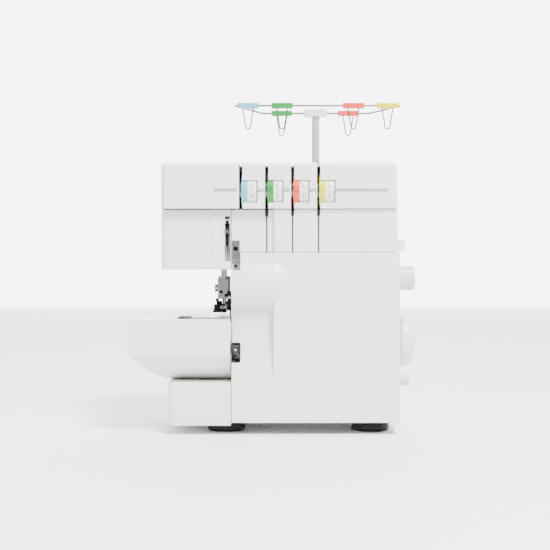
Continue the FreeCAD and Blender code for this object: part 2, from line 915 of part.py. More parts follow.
# ---------------------------------------------------------------- frame and drive
def make_frame():
    bar_x = "(-needle_x)"
    low_x, low_z = LOWER_PIVOT
    high_x, high_z = UPPER_PIVOT
    arm_floor = "(base_top + 5 + wall)"
    parts = [
        span("frame_foot", (COLUMN + " + 8", "128"), ("-70", "18"), (FLOOR, FLOOR + " + 6")),
        span("frame_back", (COLUMN + " + 8", "112"), ("-14", "-6"), ("124", "248")),
        span("frame_wall_left", (COLUMN + " + 8", COLUMN + " + 16"), ("-60", "-6"), (FLOOR, "248")),
        span("frame_wall_right", ("104", "112"), ("-60", "-6"), (FLOOR, "248")),
        span("frame_shelf_low", (COLUMN + " - 19.5", COLUMN + " + 16"), ("-90", "-6"), ("199", "208")),
        span("frame_shelf_high", (COLUMN + " - 19.5", COLUMN + " + 16"), ("-90", "-6"), ("240", "248")),
        rod("adjuster_boss", "8.5", "16", (bar_x, PRESSER_Y, "246"), "Z"),
        span(
            "head_pillar",
            (COLUMN + " - 14", COLUMN + " - 6"),
            ("-36", "-20"),
            ("head_bottom + wall", "200"),
        ),
        span("frame_beam", (COLUMN + " - 2", "82"), ("-96.6", "-88"), ("238", "248")),
        span("frame_arm_left", (COLUMN + " - 2", COLUMN + " + 2"), ("-120", "-88"), ("238", "272")),
        span("frame_arm_right", ("78", "82"), ("-120", "-88"), ("238", "272")),
        span("frame_link", ("74", "112"), ("-96.6", "-50"), ("240", "248")),
        span(
            "panel_boss_left",
            (COLUMN + " + 3", COLUMN + " + 9"),
            (FACE + " + wall", "-88"),
            ("226", "246"),
        ),
        span("panel_boss_right", ("68", "76"), (PANEL + " + wall", "-88"), ("228", "246")),
        span(
            "cover_post_left",
            (COLUMN + " + 8", COLUMN + " + 15"),
            ("-14", "-6"),
            ("240", "body_top - wall"),
        ),
        span("cover_post_right", ("107.5", "112"), ("-14", "-6"), ("240", "body_top - wall")),
        span("arm_tongue", ("12 - arm_reach", COLUMN + " + 10"), ("-68", "-52"), (arm_floor, "84")),
        span("motor_cradle", ("44", "86"), ("-20", "14"), (FLOOR, "motor_height - 8")),
        span("low_looper_post", (low_x + " - 6", low_x + " + 6"), ("-64", "-58"), (FLOOR, low_z + " + 8")),
        rod("low_looper_pin", "4", "18", (low_x, "-77", low_z), "Y"),
        span(
            "high_looper_post",
            (high_x + " - 6", high_x + " + 6"),
            ("-70", "-62"),
            (FLOOR, high_z + " + 8"),
        ),
        rod("high_looper_pin", "4", "16", (high_x, "-83", high_z), "Y"),
        span("knife_guide", (COLUMN + " + 12", bar_x + " + 53"), (NEEDLE_Y + " - 18", "-56"), ("174", "184")),
        rod("lifter_pin", "2", "8", (bar_x + " - 14.5", "-82", "218"), "X"),
        span("lifter_post", (bar_x + " - 8.5", bar_x + " - 5"), ("-86", "-78"), ("204", "222")),
        rod("take_up_pin", "2", "10", (COLUMN + " - 7", "-96", "224"), "X"),
        span("take_up_post", (COLUMN + " - 2.8", COLUMN + " + 2"), ("-99", "-93"), ("220", "240")),
    ]
    holes = [
        rod("bar_hole", "needle_bar_radius + running", "60", (bar_x, NEEDLE_Y, "195"), "Z"),
        rod("presser_hole", "presser_bar_radius + running", "44", (bar_x, PRESSER_Y, "195"), "Z"),
        rod("adjuster_bore", "5.5 + running", "30", (bar_x, PRESSER_Y, "239"), "Z"),
        rod("shaft_bore", "shaft_radius + running", "170", ("-45", SHAFT_Y, "shaft_height"), "X"),
        rod("axle_hole", "tension_rod + 0.02", "140", (COLUMN + " - 4", DIAL_Y, "dial_height"), "X"),
        rod("motor_seat", "22 + 0.05", "60", ("40", MOTOR_Y, "motor_height"), "X"),
        span(
            "knife_way",
            (bar_x + " + 40.7", bar_x + " + 47.3"),
            (NEEDLE_Y + " - 15.3", NEEDLE_Y + " - 8.7"),
            ("173", "185"),
        ),
    ]
    node(cut("frame_cut", fuse("frame_block", *parts), *holes), "main_frame")

    shaft = fuse(
        "shaft_whole",
        rod(
            "shaft",
            "shaft_radius",
            "half_width - 14 - " + COLUMN,
            (COLUMN + " + 4", SHAFT_Y, "shaft_height"),
            "X",
        ),
        rod("cam_low", "shaft_radius + 6", "8", ("-20", SHAFT_Y + " + 3", "shaft_height"), "X"),
        rod("cam_high", "shaft_radius + 6", "8", ("0", SHAFT_Y, "shaft_height + 3"), "X"),
        rod("cam_knife", "shaft_radius + 6", "8", ("20", SHAFT_Y + " - 3", "shaft_height"), "X"),
        rod("cam_feed", "shaft_radius + 4", "8", ("40", SHAFT_Y, "shaft_height - 3"), "X"),
    )
    node(shaft, "main_shaft")
    # Handwheel: a dished wheel with a knurled rim, pressed on the shaft end.
    wheel = turned(
        "wheel",
        [
            ("shaft_radius + 0.02", "0"),
            ("14", "0"),
            ("14", "4"),
            ("wheel_radius - 4", "4"),
            ("wheel_radius - 1", "5"),
            ("wheel_radius", "8"),
            ("wheel_radius", "wheel_width - 4"),
            ("wheel_radius - 3", "wheel_width"),
            ("wheel_radius - 8", "wheel_width + 1.5"),
            ("wheel_radius - 12", "wheel_width"),
            ("12", "wheel_width - 3"),
            ("10", "wheel_width"),
            ("shaft_radius + 0.02", "wheel_width"),
        ],
        ("half_width - wheel_width - 1.5", SHAFT_Y, "shaft_height"),
        "X",
    )
    node(wheel, "handwheel")

    pulley = turned(
        "pulley",
        [
            ("shaft_radius + 0.02", "0"),
            ("pulley_radius + 1.5", "0"),
            ("pulley_radius", "1"),
            ("pulley_radius", "belt_width + 1"),
            ("pulley_radius + 1.5", "belt_width + 2"),
            ("shaft_radius + 0.02", "belt_width + 2"),
        ],
        ("117", SHAFT_Y, "shaft_height"),
        "X",
    )
    node(pulley, "shaft_pulley")
    motor = fuse(
        "motor_whole",
        rod("motor_can", "22", "64", ("34", MOTOR_Y, "motor_height"), "X"),
        rod("motor_nose", "9", "5", ("98", MOTOR_Y, "motor_height"), "X"),
        rod("motor_tail", "12", "6", ("28", MOTOR_Y, "motor_height"), "X"),
    )
    bore = rod("motor_bore", "2.5 + running", "12", ("92", MOTOR_Y, "motor_height"), "X")
    node(cut("motor_cut", motor, bore), "motor")
    small = fuse(
        "small_pulley",
        turned(
            "motor_wheel",
            [
                ("0", "0"),
                ("motor_pulley_radius + 1.5", "0"),
                ("motor_pulley_radius", "1"),
                ("motor_pulley_radius", "belt_width + 1"),
                ("motor_pulley_radius + 1.5", "belt_width + 2"),
                ("0", "belt_width + 2"),
            ],
            ("117", MOTOR_Y, "motor_height"),
            "X",
        ),
        rod("motor_shaft", "2.5", "25", ("93", MOTOR_Y, "motor_height"), "X"),
    )
    node(small, "motor_pulley")
    node(belt(), "drive_belt")


def loop_face(first, first_radius, second, second_radius):
    """The flat shape inside a band round two circles, in the YZ plane."""
    away = second - first
    reach = away.Length
    lean = math.asin((first_radius - second_radius) / reach)
    ahead = away.normalize()
    side = FreeCAD.Vector(0, -ahead.z, ahead.y)

    def point(centre, radius, sign):
        return centre + (ahead * math.sin(lean) + side * (sign * math.cos(lean))) * radius

    a, b = point(first, first_radius, 1), point(second, second_radius, 1)
    c, d = point(second, second_radius, -1), point(first, first_radius, -1)
    edges = [
        Part.LineSegment(a, b).toShape(),
        Part.Arc(b, second + ahead * second_radius, c).toShape(),
        Part.LineSegment(c, d).toShape(),
        Part.Arc(d, first - ahead * first_radius, a).toShape(),
    ]
    return Part.Face(Part.Wire(edges))


def belt():
    """A flat band round the two pulleys, which no primitive makes."""
    first = FreeCAD.Vector(value("119"), value(SHAFT_Y), value("shaft_height"))
    second = FreeCAD.Vector(value("119"), value(MOTOR_Y), value("motor_height"))
    inner = [value("pulley_radius + gap"), value("motor_pulley_radius + gap")]
    thick, width = value("belt_thick"), value("belt_width - 2")
    along = FreeCAD.Vector(width, 0, 0)
    outside = loop_face(first, inner[0] + thick, second, inner[1] + thick).extrude(along)
    inside = loop_face(first, inner[0], second, inner[1]).extrude(along)
    thing = doc.addObject("Part::Feature", "belt_band")
    thing.Shape = outside.cut(inside)
    return thing


# ---------------------------------------------------------------- needle, presser and take-up
def make_needle_line():
    bar_x = "(-needle_x)"
    needle_rod = rod("needle_rod", "needle_bar_radius", "91", (bar_x, NEEDLE_Y, "171"), "Z")
    node(needle_rod, "needle_bar")
    clamp = soft_span(
        "clamp", (bar_x + " - 7", bar_x + " + 7"), (NEEDLE_Y + " - 6", NEEDLE_Y + " + 6"), ("148", "171")
    )
    rounded(clamp, "2", along="z")
    seats = []
    needles = []
    for offset, lift in (("-1.2", "0"), ("1.2", "1")):
        x = bar_x + " + (%s)" % offset
        seats.append(rod("needle_seat", "1.02", "12", (x, NEEDLE_Y, "147 + " + lift), "Z"))
        needles.append(
            fuse(
                "needle",
                rod("needle_shank", "1", "18", (x, NEEDLE_Y, "139 + " + lift), "Z"),
                cone("needle_taper", "0.45", "1", "2", (x, NEEDLE_Y, "137 + " + lift), "Z"),
                rod("needle_blade", "0.45", "14", (x, NEEDLE_Y, "123 + " + lift), "Z"),
                cone("needle_tip", "0.05", "0.45", "3", (x, NEEDLE_Y, "120 + " + lift), "Z"),
            )
        )
    node(cut("clamp_cut", clamp, *seats), "needle_clamp")
    node(group("needle_pair", *needles), "needles")

    # Presser bar with its spring, holder, hinged foot, adjuster and lifting lever.
    bar = fuse(
        "presser_rod",
        rod("presser_stem", "presser_bar_radius", "90", (bar_x, PRESSER_Y, "174"), "Z"),
        rod("presser_collar", "7", "4", (bar_x, PRESSER_Y, "222"), "Z"),
    )
    node(bar, "presser_bar")
    path = doc.addObject("Part::Helix", "spring_path")
    bind(path, "Radius", "presser_bar_radius + 1.6")
    bind(path, "Pitch", "3.2")
    bind(path, "Height", "11.6")
    place(path, (bar_x, PRESSER_Y, "227.2"))
    wire = doc.addObject("Part::Circle", "spring_wire")
    bind(wire, "Radius", "0.9")
    across = FreeCAD.Rotation(FreeCAD.Vector(1, 0, 0), 90)
    wire.Placement = FreeCAD.Placement(FreeCAD.Vector(), across)
    place(wire, (bar_x + " + presser_bar_radius + 1.6", PRESSER_Y, "227.2"))
    coil = doc.addObject("Part::Sweep", "spring_coil")
    coil.Sections = [wire]
    coil.Spine = (path, ["Edge1"])
    coil.Solid = True
    coil.Frenet = True
    node(coil, "presser_spring")

    holder = soft_span(
        "holder",
        (bar_x + " - 7", bar_x + " + 7"),
        (PRESSER_Y + " - 6", PRESSER_Y + " + 6"),
        ("148", "174"),
    )
    rounded(holder, "2", along="z")
    tongue = span(
        "holder_tongue",
        (bar_x + " - 2.2", bar_x + " + 2.2"),
        (PRESSER_Y + " - 4", PRESSER_Y + " + 4"),
        ("137.5", "149"),
    )
    pin_bore = rod("foot_pin_bore", "1.3", "20", (bar_x + " - 10", PRESSER_Y, "141.5"), "X")
    node(cut("holder_cut", fuse("holder_whole", holder, tongue), pin_bore), "presser_foot_holder")

    sole = soft_span(
        "sole",
        (bar_x + " - 12", bar_x + " + 3.8"),
        (NEEDLE_Y + " - 19", PRESSER_Y + " + 10"),
        ("133", "135.4"),
    )
    rounded(sole, "2.5", along="z")
    heel = soft_span(
        "foot_heel",
        (bar_x + " - 9", bar_x + " + 3.8"),
        (PRESSER_Y + " - 8", PRESSER_Y + " + 7"),
        ("135", "145"),
    )
    rounded(heel, "1.5", rim="+z")
    bridge = soft_span(
        "foot_bridge",
        (bar_x + " - 11", bar_x + " + 3.8"),
        (NEEDLE_Y + " - 11", NEEDLE_Y + " - 5"),
        ("135", "142"),
    )
    rounded(bridge, "1.5", rim="+z")
    ways = [
        span(
            "foot_slot",
            (bar_x + " - 2.6", bar_x + " + 2.6"),
            (PRESSER_Y + " - 9", PRESSER_Y + " + 9"),
            ("136", "147"),
        ),
        span(
            "foot_needle_way",
            (bar_x + " - 3.2", bar_x + " + 3.2"),
            (NEEDLE_Y + " - 2.5", NEEDLE_Y + " + 2.5"),
            ("132", "136"),
        ),
        span(
            "toe_gap",
            (bar_x + " - 1.5", bar_x + " + 1.5"),
            (NEEDLE_Y + " - 20", NEEDLE_Y + " - 12"),
            ("132", "136"),
        ),
    ]
    foot = fuse(
        "foot_whole",
        cut("foot_cut", fuse("foot_parts", sole, heel, bridge), *ways),
        rod("foot_pin", "1.2", "10", (bar_x + " - 6.5", PRESSER_Y, "141.5"), "X"),
    )
    node(foot, "presser_foot")

    adjuster = turned(
        "adjuster",
        [
            ("0", "26.2"),
            ("3.5", "26.2"),
            ("3.5", "0"),
            ("5.5", "0"),
            ("5.5", "body_top - 255"),
            ("7", "body_top - 254"),
            ("7", "body_top - 240.3"),
            ("6", "body_top - 239.3"),
            ("0", "body_top - 239.3"),
        ],
        (bar_x, PRESSER_Y, "240.3"),
    )
    screwdriver_slot = span(
        "adjuster_slot",
        (bar_x + " - 8", bar_x + " + 8"),
        (PRESSER_Y + " - 0.8", PRESSER_Y + " + 0.8"),
        ("body_top - 0.5", "body_top + 3"),
    )
    node(cut("adjuster_cut", adjuster, screwdriver_slot), "pressure_adjuster")

    arm = ("(%s - 13.5)" % bar_x, "(%s - 9.5)" % bar_x)
    pad = soft_span("lifter_pad", (arm[0] + " - 4", arm[1] + " + 4"), ("40", "56"), ("213.5", "219"))
    rounded(pad, "1.5", rim="+z")
    lever = fuse(
        "lifter",
        rod("lifter_hub", "5", "4", (arm[0], "-82", "218"), "X"),
        span("lifter_arm", arm, ("-82", "44"), ("214", "218")),
        span("lifter_finger", (arm[1] + " - 1", bar_x + " - 3.6"), ("-59.5", "-56.5"), ("216", "221.7")),
        pad,
    )
    lifter_bore = rod("lifter_bore", "2 + running", "10", (arm[0] + " - 2", "-82", "218"), "X")
    node(cut("lifter_cut", lever, lifter_bore), "presser_lifter")

    # Take-up arm: rocks in the head and shows at the thread slot.
    arm_x = (COLUMN + " - 6", COLUMN + " - 3.6")
    take_up = fuse(
        "take_up",
        span("take_up_arm", arm_x, (FACE + " - 3", "-95"), ("222", "226")),
        rod("take_up_hub", "5", "2.4", (COLUMN + " - 6", "-96", "224"), "X"),
    )
    take_up_bore = rod("take_up_bore", "2 + running", "10", (COLUMN + " - 9", "-96", "224"), "X")
    eye = rod("take_up_eye", "1.2", "6", (COLUMN + " - 8", FACE, "224"), "X")
    node(cut("take_up_cut", take_up, take_up_bore, eye), "take_up_lever")
    guide = span(
        "thread_guide", (COLUMN + " + 0.6", COLUMN + " + 9"), (FACE + " - 1.6", FACE), ("188", "214")
    )
    guide_hole = rod("guide_eye", "1", "6", (COLUMN + " + 3", FACE + " - 3", "192"), "Y")
    node(cut("guide_cut", guide, guide_hole), "thread_guide_plate")


# ---------------------------------------------------------------- loopers, knives and feed
def make_loopers():
    x, z = LOWER_PIVOT
    blade = slab(
        "low_looper",
        "XZ_Plane",
        [
            ("-6", "0"),
            ("6", "0"),
            ("4", "46"),
            ("0", "58"),
            ("-12", "64"),
            ("-42", "62"),
            ("-46", "60"),
            ("-12", "57"),
            ("-5", "50"),
        ],
        "2",
        (x, "-72.8", z),
    )
    hub = rod("low_hub", "8", "7.7", (x, "-75", z), "Y")
    bore = rod("low_bore", "4 + running", "30", (x, "-90", z), "Y")
    node(cut("low_looper_cut", fuse("low_looper_whole", blade, hub), bore), "lower_looper")

    x, z = UPPER_PIVOT
    blade = slab(
        "high_looper",
        "XZ_Plane",
        [
            ("-5", "0"),
            ("5", "0"),
            ("3", "36"),
            ("-2", "46"),
            ("-14", "54"),
            ("-34", "59"),
            ("-37", "58"),
            ("-16", "49"),
            ("-7", "42"),
            ("-5", "36"),
        ],
        "2",
        (x, "-78", z),
    )
    hub = rod("high_hub", "8", "7.7", (x, "-81", z), "Y")
    bore = rod("high_bore", "4 + running", "30", (x, "-96", z), "Y")
    node(cut("high_looper_cut", fuse("high_looper_whole", blade, hub), bore), "upper_looper")

    # Knives: one fixed below the plate, one driven up and down beside the foot.
    x = "(-needle_x)"
    front = "(%s - 15)" % NEEDLE_Y
    fixed = fuse(
        "fixed_blade",
        span("low_blade", (x + " + 5.4", x + " + 6.9"), (front, front + " + 9"), ("90", "bed_height - 0.4")),
        span("low_blade_arm", (x + " + 6", x + " + 9.5"), (front, "-60"), ("84", "92")),
    )
    node(fixed, "lower_knife")
    holder = soft_span("knife_holder", (x + " + 4.4", x + " + 9"), (front, front + " + 8"), ("135", "157"))
    rounded(holder, "1.5", along="y")
    moving = fuse(
        "moving_blade",
        holder,
        span("knife_blade", (x + " + 7.2", x + " + 8.8"), (front + " + 1", front + " + 9"), ("124", "136")),
        span("knife_arm", (x + " + 8", x + " + 47"), (front, front + " + 6"), ("148", "157")),
        span("knife_rod", (x + " + 41", x + " + 47"), (front, front + " + 6"), ("148", "190")),
    )
    node(moving, "upper_knife")

    # Feed dogs: a main and a differential bar with saw teeth.
    for label, offset in (("main_feed_dog", "-6.7"), ("differential_feed_dog", "1.3")):
        left = x + " + (%s)" % offset
        teeth = []
        for i in range(7):
            teeth.append(
                slab(
                    "tooth",
                    "YZ_Plane",
                    [("0", "0"), ("2", "0"), ("2", "1.6")],
                    "4.4",
                    (left, NEEDLE_Y + " + 6 + %d * 2.1" % i, "124.8"),
                )
            )
        carrier = span(
            "feed_carrier",
            (left, left + " + 4.4"),
            (NEEDLE_Y + " + 8", NEEDLE_Y + " + 20"),
            ("84 + gap", "119.5"),
        )
        bar = span(
            "feed_bar",
            (left, left + " + 4.4"),
            (NEEDLE_Y + " + 5.7", NEEDLE_Y + " + 21.2"),
            ("119", "125"),
        )
        node(fuse("feed_whole", carrier, bar, *teeth), label)


# ---------------------------------------------------------------- thread tension
def make_tension():
    axle = rod("axle_bar", "tension_rod", "84 - " + COLUMN, (COLUMN + " - 2", DIAL_Y, "dial_height"), "X")
    discs = [axle]
    for name, x in zip(THREADS, SLOTS):
        dial = turned(
            "dial",
            [
                ("tension_rod + running", "0"),
                ("dial_radius - 4", "0"),
                ("dial_radius - 0.6", "0"),
                ("dial_radius", "0.6"),
                ("dial_radius", "6.2"),
                ("dial_radius - 0.8", "6.5"),
                ("dial_radius - 0.8", "dial_width"),
                ("tension_rod + running", "dial_width"),
            ],
            (x + " + slot_width / 2", DIAL_Y, "dial_height"),
            "X",
        )
        node(dial, "tension_dial_" + name)
        for side in ("-1.3", "0.5"):
            discs.append(
                rod("disc_plate", "10", "0.8", (x + " + (%s)" % side, DIAL_Y, "dial_height"), "X")
            )
    node(fuse("axle_and_discs", *discs), "tension_axle")


# ---------------------------------------------------------------- side controls
def make_side_controls():
    for label, radius, reach, stem, z in (
        ("stitch_length_dial", "stitch_dial_radius", "stitch_dial_reach", "4", "172"),
        ("differential_feed_dial", "feed_dial_radius", "feed_dial_reach", "3", "57"),
    ):
        knob = turned(
            "knob",
            [
                ("0", "-14"),
                (stem, "-14"),
                (stem, "gap"),
                (radius + " - 0.5", "gap"),
                (radius, "1"),
                (radius, "(%s) - 1.5" % reach),
                (radius + " - 1.5", reach),
                ("0", reach),
            ],
            ("side_reach", FRONT + " + 45", z),
            "X",
        )
        node(knob, label)

    low, high = "(%s - 30)" % REAR, "(%s - 14)" % REAR
    housing = cut(
        "switch_body",
        fuse(
            "switch_parts",
            span("switch_can", ("129", "side_reach"), (low, high), ("66", "90")),
            span(
                "switch_rim",
                ("side_reach", "side_reach + 1.2"),
                (low + " - 1.5", high + " + 1.5"),
                ("64.5", "91.5"),
            ),
        ),
        span(
            "switch_well", ("130.5", "side_reach + 2"), (low + " + 2", high + " - 2"), ("68", "88")
        ),
        rod("rocker_bores", "1 + running", "14", ("133.5", low + " + 1", "78"), "Y"),
    )
    rocker = slab(
        "rocker",
        "XZ_Plane",
        [
            ("0", "4"),
            ("6.5", "0.8"),
            ("8.2", "0.8"),
            ("5.6", "9.5"),
            ("8.2", "18.2"),
            ("6.5", "18.2"),
            ("0", "15"),
        ],
        "11.4",
        ("side_reach - 6.2", low + " + 2.3", "68.5"),
    )
    pins = rod("rocker_pins", "1", "13.4", ("133.5", low + " + 1.3", "78"), "Y")
    node(fuse("rocker_whole", rocker, pins), "power_rocker")
    low, high = "(%s - 34)" % REAR, "(%s - 10)" % REAR
    inlet = cut(
        "inlet_body",
        fuse(
            "inlet_parts",
            span("inlet_can", ("129", "side_reach"), (low, high), ("30", "50")),
            span(
                "inlet_rim",
                ("side_reach", "side_reach + 1.2"),
                (low + " - 2", high + " + 2"),
                ("28", "52"),
            ),
        ),
        span("inlet_well", ("131", "side_reach + 2"), (low + " + 3", high + " - 3"), ("34", "46")),
    )
    node(group("electrical_fittings", housing, inlet), "switch_and_power_inlet")


# ---------------------------------------------------------------- handle, spool stand and thread tree
def make_handle():
    pivot_y, pivot_z = HANDLE_PIVOT
    bar = soft_span(
        "handle", ("-12.5", "102.5"), (REAR + " - 60", pivot_y), (pivot_z + " - 3.7", pivot_z + " + 3.7")
    )
    rounded(bar, "6", along="z", y="low")
    grip_gap = span(
        "handle_gap",
        ("-3", "93"),
        (REAR + " - 51", pivot_y + " + 5"),
        (pivot_z + " - 5", pivot_z + " + 5"),
    )
    heels = rod("handle_heels", "3.7", "115", ("-12.5", pivot_y, pivot_z), "X")
    pins = rod("handle_pins", "1.8", "119", ("-14.5", pivot_y, pivot_z), "X")
    bored = cut("handle_cut", fuse("handle_parts", bar, heels, pins), grip_gap)
    node(bored, "carrying_handle")


def make_spools():
    stand = soft_span(
        "stand",
        ("-stand_left", "half_width"),
        (REAR, "half_depth"),
        ("stand_bottom", STAND_TOP),
    )
    rounded(stand, "14", along="z", y="high")
    rounded(stand, "2", rim="+z")
    under = span(
        "stand_under",
        ("3 - stand_left", "half_width - 3"),
        (REAR + " + 3", "half_depth - 3"),
        ("stand_bottom - 1", STAND_TOP + " - 3"),
    )
    node(cut("stand_cut", stand, under), "spool_stand")
    pins, discs = [], []
    for i in range(4):
        x = "(%s + pin_pitch * (%d - 1.5))" % (POLE_X, i)
        pins.append(
            turned(
                "pin",
                [
                    ("0", "0"),
                    ("7", "0"),
                    ("7", "2"),
                    ("pin_radius", "4"),
                    ("pin_radius", "pin_length - 3"),
                    ("1.2", "pin_length"),
                    ("0", "pin_length"),
                ],
                (x, PIN_Y, STAND_TOP),
            )
        )
        discs.append(
            turned(
                "disc",
                [
                    ("7 + gap", "0"),
                    ("21", "0"),
                    ("22", "1"),
                    ("22", "3"),
                    ("10", "4"),
                    ("8.5", "12"),
                    ("7 + gap", "12"),
                ],
                (x, PIN_Y, STAND_TOP),
            )
        )
    node(group("pin_set", *pins), "spool_pins")
    node(group("disc_set", *discs), "spool_holders")

    lower = cut(
        "pole_sleeve",
        fuse(
            "pole_sleeve_parts",
            rod("pole_outer", "pole_radius + 1.6", "78", (POLE_X, POLE_Y, STAND_TOP), "Z"),
            rod("pole_flange", "13", "3", (POLE_X, POLE_Y, STAND_TOP), "Z"),
        ),
        rod("pole_bore", "pole_radius + running", "90", (POLE_X, POLE_Y, STAND_TOP + " + 3"), "Z"),
    )
    node(lower, "pole_lower_tube")
    mast = fuse(
        "pole_mast",
        rod("pole_shaft", "pole_radius", "pole_top - 268", (POLE_X, POLE_Y, "268"), "Z"),
        rod("pole_spigot", "3.5", "5", (POLE_X, POLE_Y, "pole_top - 2"), "Z"),
    )
    node(mast, "pole_upper_tube")


def bent_wire(name, points, radius, bend, closed=False):
    """A round wire along straight runs joined by tangent arcs, which no primitive makes."""
    path = [FreeCAD.Vector(*[value(c) for c in point]) for point in points]
    bend = value(bend)
    count = len(path)
    edges, last = [], None
    first = None
    for i, corner in enumerate(path):
        if not closed and i in (0, count - 1):
            start = end = corner
            arc = None
        else:
            back = (path[i - 1] - corner).normalize()
            ahead = (path[(i + 1) % count] - corner).normalize()
            half = back.getAngle(ahead) / 2
            reach = bend / math.tan(half)
            start, end = corner + back * reach, corner + ahead * reach
            towards = (back + ahead).normalize()
            middle = corner + towards * (bend / math.sin(half) - bend)
            arc = Part.Arc(start, middle, end).toShape()
        if last is not None:
            edges.append(Part.LineSegment(last, start).toShape())
        else:
            first = start
        if arc is not None:
            edges.append(arc)
        last = end
    if closed:
        edges.append(Part.LineSegment(last, first).toShape())
    route = Part.Wire(edges)
    start = edges[0].valueAt(edges[0].FirstParameter)
    heading = edges[0].tangentAt(edges[0].FirstParameter)
    ring = Part.Wire([Part.Circle(start, heading, value(radius)).toShape()])
    thing = doc.addObject("Part::Feature", unique(name))
    thing.Shape = route.makePipeShell([ring], True, True)
    return thing


def make_thread_tree():
    wire_z = "(pole_top + 5)"
    front_y, rear_y = "(%s - guide_depth)" % POLE_Y, POLE_Y
    hub_body = soft_span(
        "hub",
        (POLE_X + " - 15", POLE_X + " + 15"),
        (POLE_Y + " - 7", POLE_Y + " + 7"),
        ("pole_top + gap", "pole_top + 10"),
    )
    rounded(hub_body, "5", along="z")
    hub_hole = rod("hub_wire_way", "guide_wire + 0.02", "40", (POLE_X + " - 20", rear_y, wire_z), "X")
    spigot_bore = rod("spigot_bore", "3.5 + running", "4.3", (POLE_X, POLE_Y, "pole_top - 1"), "Z")
    node(cut("hub_cut", hub_body, hub_hole, spigot_bore), "guide_hub")
    frame = bent_wire(
        "guide_frame",
        [
            (POLE_X + " - guide_half_front + 1.5", front_y, wire_z),
            (POLE_X + " + guide_half_front - 1.5", front_y, wire_z),
            (POLE_X + " + guide_half_rear", rear_y, wire_z),
            (POLE_X + " - guide_half_rear", rear_y, wire_z),
        ],
        "guide_wire",
        "2",
        closed=True,
    )
    node(frame, "guide_wire_frame")
    clips = {name: [] for name in THREADS}
    hooks = []
    for name, offset, y in (
        ("blue", "-88", front_y),
        ("green", "-45", front_y),
        ("red", "45", front_y),
        ("yellow", "88", front_y),
        ("green", "-45", rear_y),
        ("red", "43", rear_y),
    ):
        x = "(%s + (%s))" % (POLE_X, offset)
        body = soft_span(
            "clip",
            (x + " - 13.5", x + " + 13.5"),
            (y + " - 4.5", y + " + 4.5"),
            (wire_z + " - 3.4", wire_z + " + 3.4"),
        )
        rounded(body, "1.5", along="x")
        way = rod("clip_way", "guide_wire + 0.05", "40", (x + " - 20", y, wire_z), "X")
        clips[name].append(cut("clip_cut", body, way))
        top = wire_z + " - 3.5"
        hooks.append(
            bent_wire(
                "hook",
                [
                    (x + " - 6.8", y, top),
                    (x + " - 2.6", y, wire_z + " - 29"),
                    (x + " + 2.6", y, wire_z + " - 29"),
                    (x + " + 6.8", y, top),
                ],
                "hook_wire",
                "1.8",
            )
        )
    for name in THREADS:
        node(group("clips", *clips[name]), "thread_clip_" + name)
    node(group("hook_set", *hooks), "thread_hooks")


make_base()
make_table()
make_casings()
make_top_cover()
make_door()
make_table_latch()
make_frame()
make_needle_line()
make_loopers()
make_tension()
make_side_controls()
make_handle()
make_spools()
make_thread_tree()
doc.recompute()

failed = ["%s: %s" % (thing.Label, thing.getStatusString()) for thing in doc.Objects
          if "Invalid" in thing.State or "Error" in thing.State]
if failed:
    raise RuntimeError("these objects failed: " + "; ".join(failed))
for thing in nodes:
    if thing.Shape.isNull() or not thing.Shape.isValid() or not thing.Shape.Solids:
        raise RuntimeError(thing.Label + " has no valid shape")
os.makedirs("parts", exist_ok=True)
for thing in nodes:
    thing.Shape.exportStep("parts/%s.step" % thing.Label)
print("%d nodes written" % len(nodes))
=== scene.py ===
from math import cos, pi, radians, sin

import bmesh
import bpy
from mathutils import Matrix, Vector


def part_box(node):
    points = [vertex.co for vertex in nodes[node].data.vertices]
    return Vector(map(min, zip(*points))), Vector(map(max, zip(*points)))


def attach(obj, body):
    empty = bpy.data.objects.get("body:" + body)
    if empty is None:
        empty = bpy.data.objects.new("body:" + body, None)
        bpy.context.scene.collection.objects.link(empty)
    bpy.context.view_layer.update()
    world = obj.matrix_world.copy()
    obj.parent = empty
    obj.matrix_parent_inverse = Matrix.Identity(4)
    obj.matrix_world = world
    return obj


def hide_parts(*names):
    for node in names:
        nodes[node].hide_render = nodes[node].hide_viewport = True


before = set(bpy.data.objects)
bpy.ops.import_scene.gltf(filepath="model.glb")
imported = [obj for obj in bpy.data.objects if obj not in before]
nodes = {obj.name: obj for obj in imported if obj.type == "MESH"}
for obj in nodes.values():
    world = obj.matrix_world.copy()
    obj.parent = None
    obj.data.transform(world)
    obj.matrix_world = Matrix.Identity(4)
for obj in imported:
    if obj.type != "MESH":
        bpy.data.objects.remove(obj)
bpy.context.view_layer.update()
bpy.ops.object.select_all(action="DESELECT")


# ---------------------------------------------------------------- studio
# A long-lens camera level with the underside of the head, a pale floor with a lit backdrop set
# far behind, and three large soft lamps: key from the upper right, fill from the left, and top.
bpy.ops.object.camera_add(location=(0, -1.334, 0.188), rotation=(radians(90), 0, 0))
camera = bpy.context.object
camera.name = "studio_camera"
camera.data.lens = 71.4
camera.data.sensor_width = 36
camera.data.shift_y = -0.02
camera.data.clip_end = 20
bpy.context.scene.camera = camera

bpy.ops.mesh.primitive_plane_add(size=14, location=(0, 3, -0.0002))
floor = bpy.context.object
floor.name = "studio_floor"
bpy.ops.object.mode_set(mode="EDIT")
bpy.ops.mesh.select_all(action="SELECT")
bpy.ops.mesh.subdivide(number_cuts=3)
bpy.ops.object.mode_set(mode="OBJECT")
bpy.ops.object.transform_apply(location=True)
floor_finish = bpy.data.materials.new("studio_floor")
floor_finish.use_nodes = True
floor_shader = floor_finish.node_tree.nodes["Principled BSDF"]
floor_shader.inputs["Base Color"].default_value = (0.92, 0.92, 0.92, 1)
floor_shader.inputs["Roughness"].default_value = 0.6
floor.data.materials.append(floor_finish)

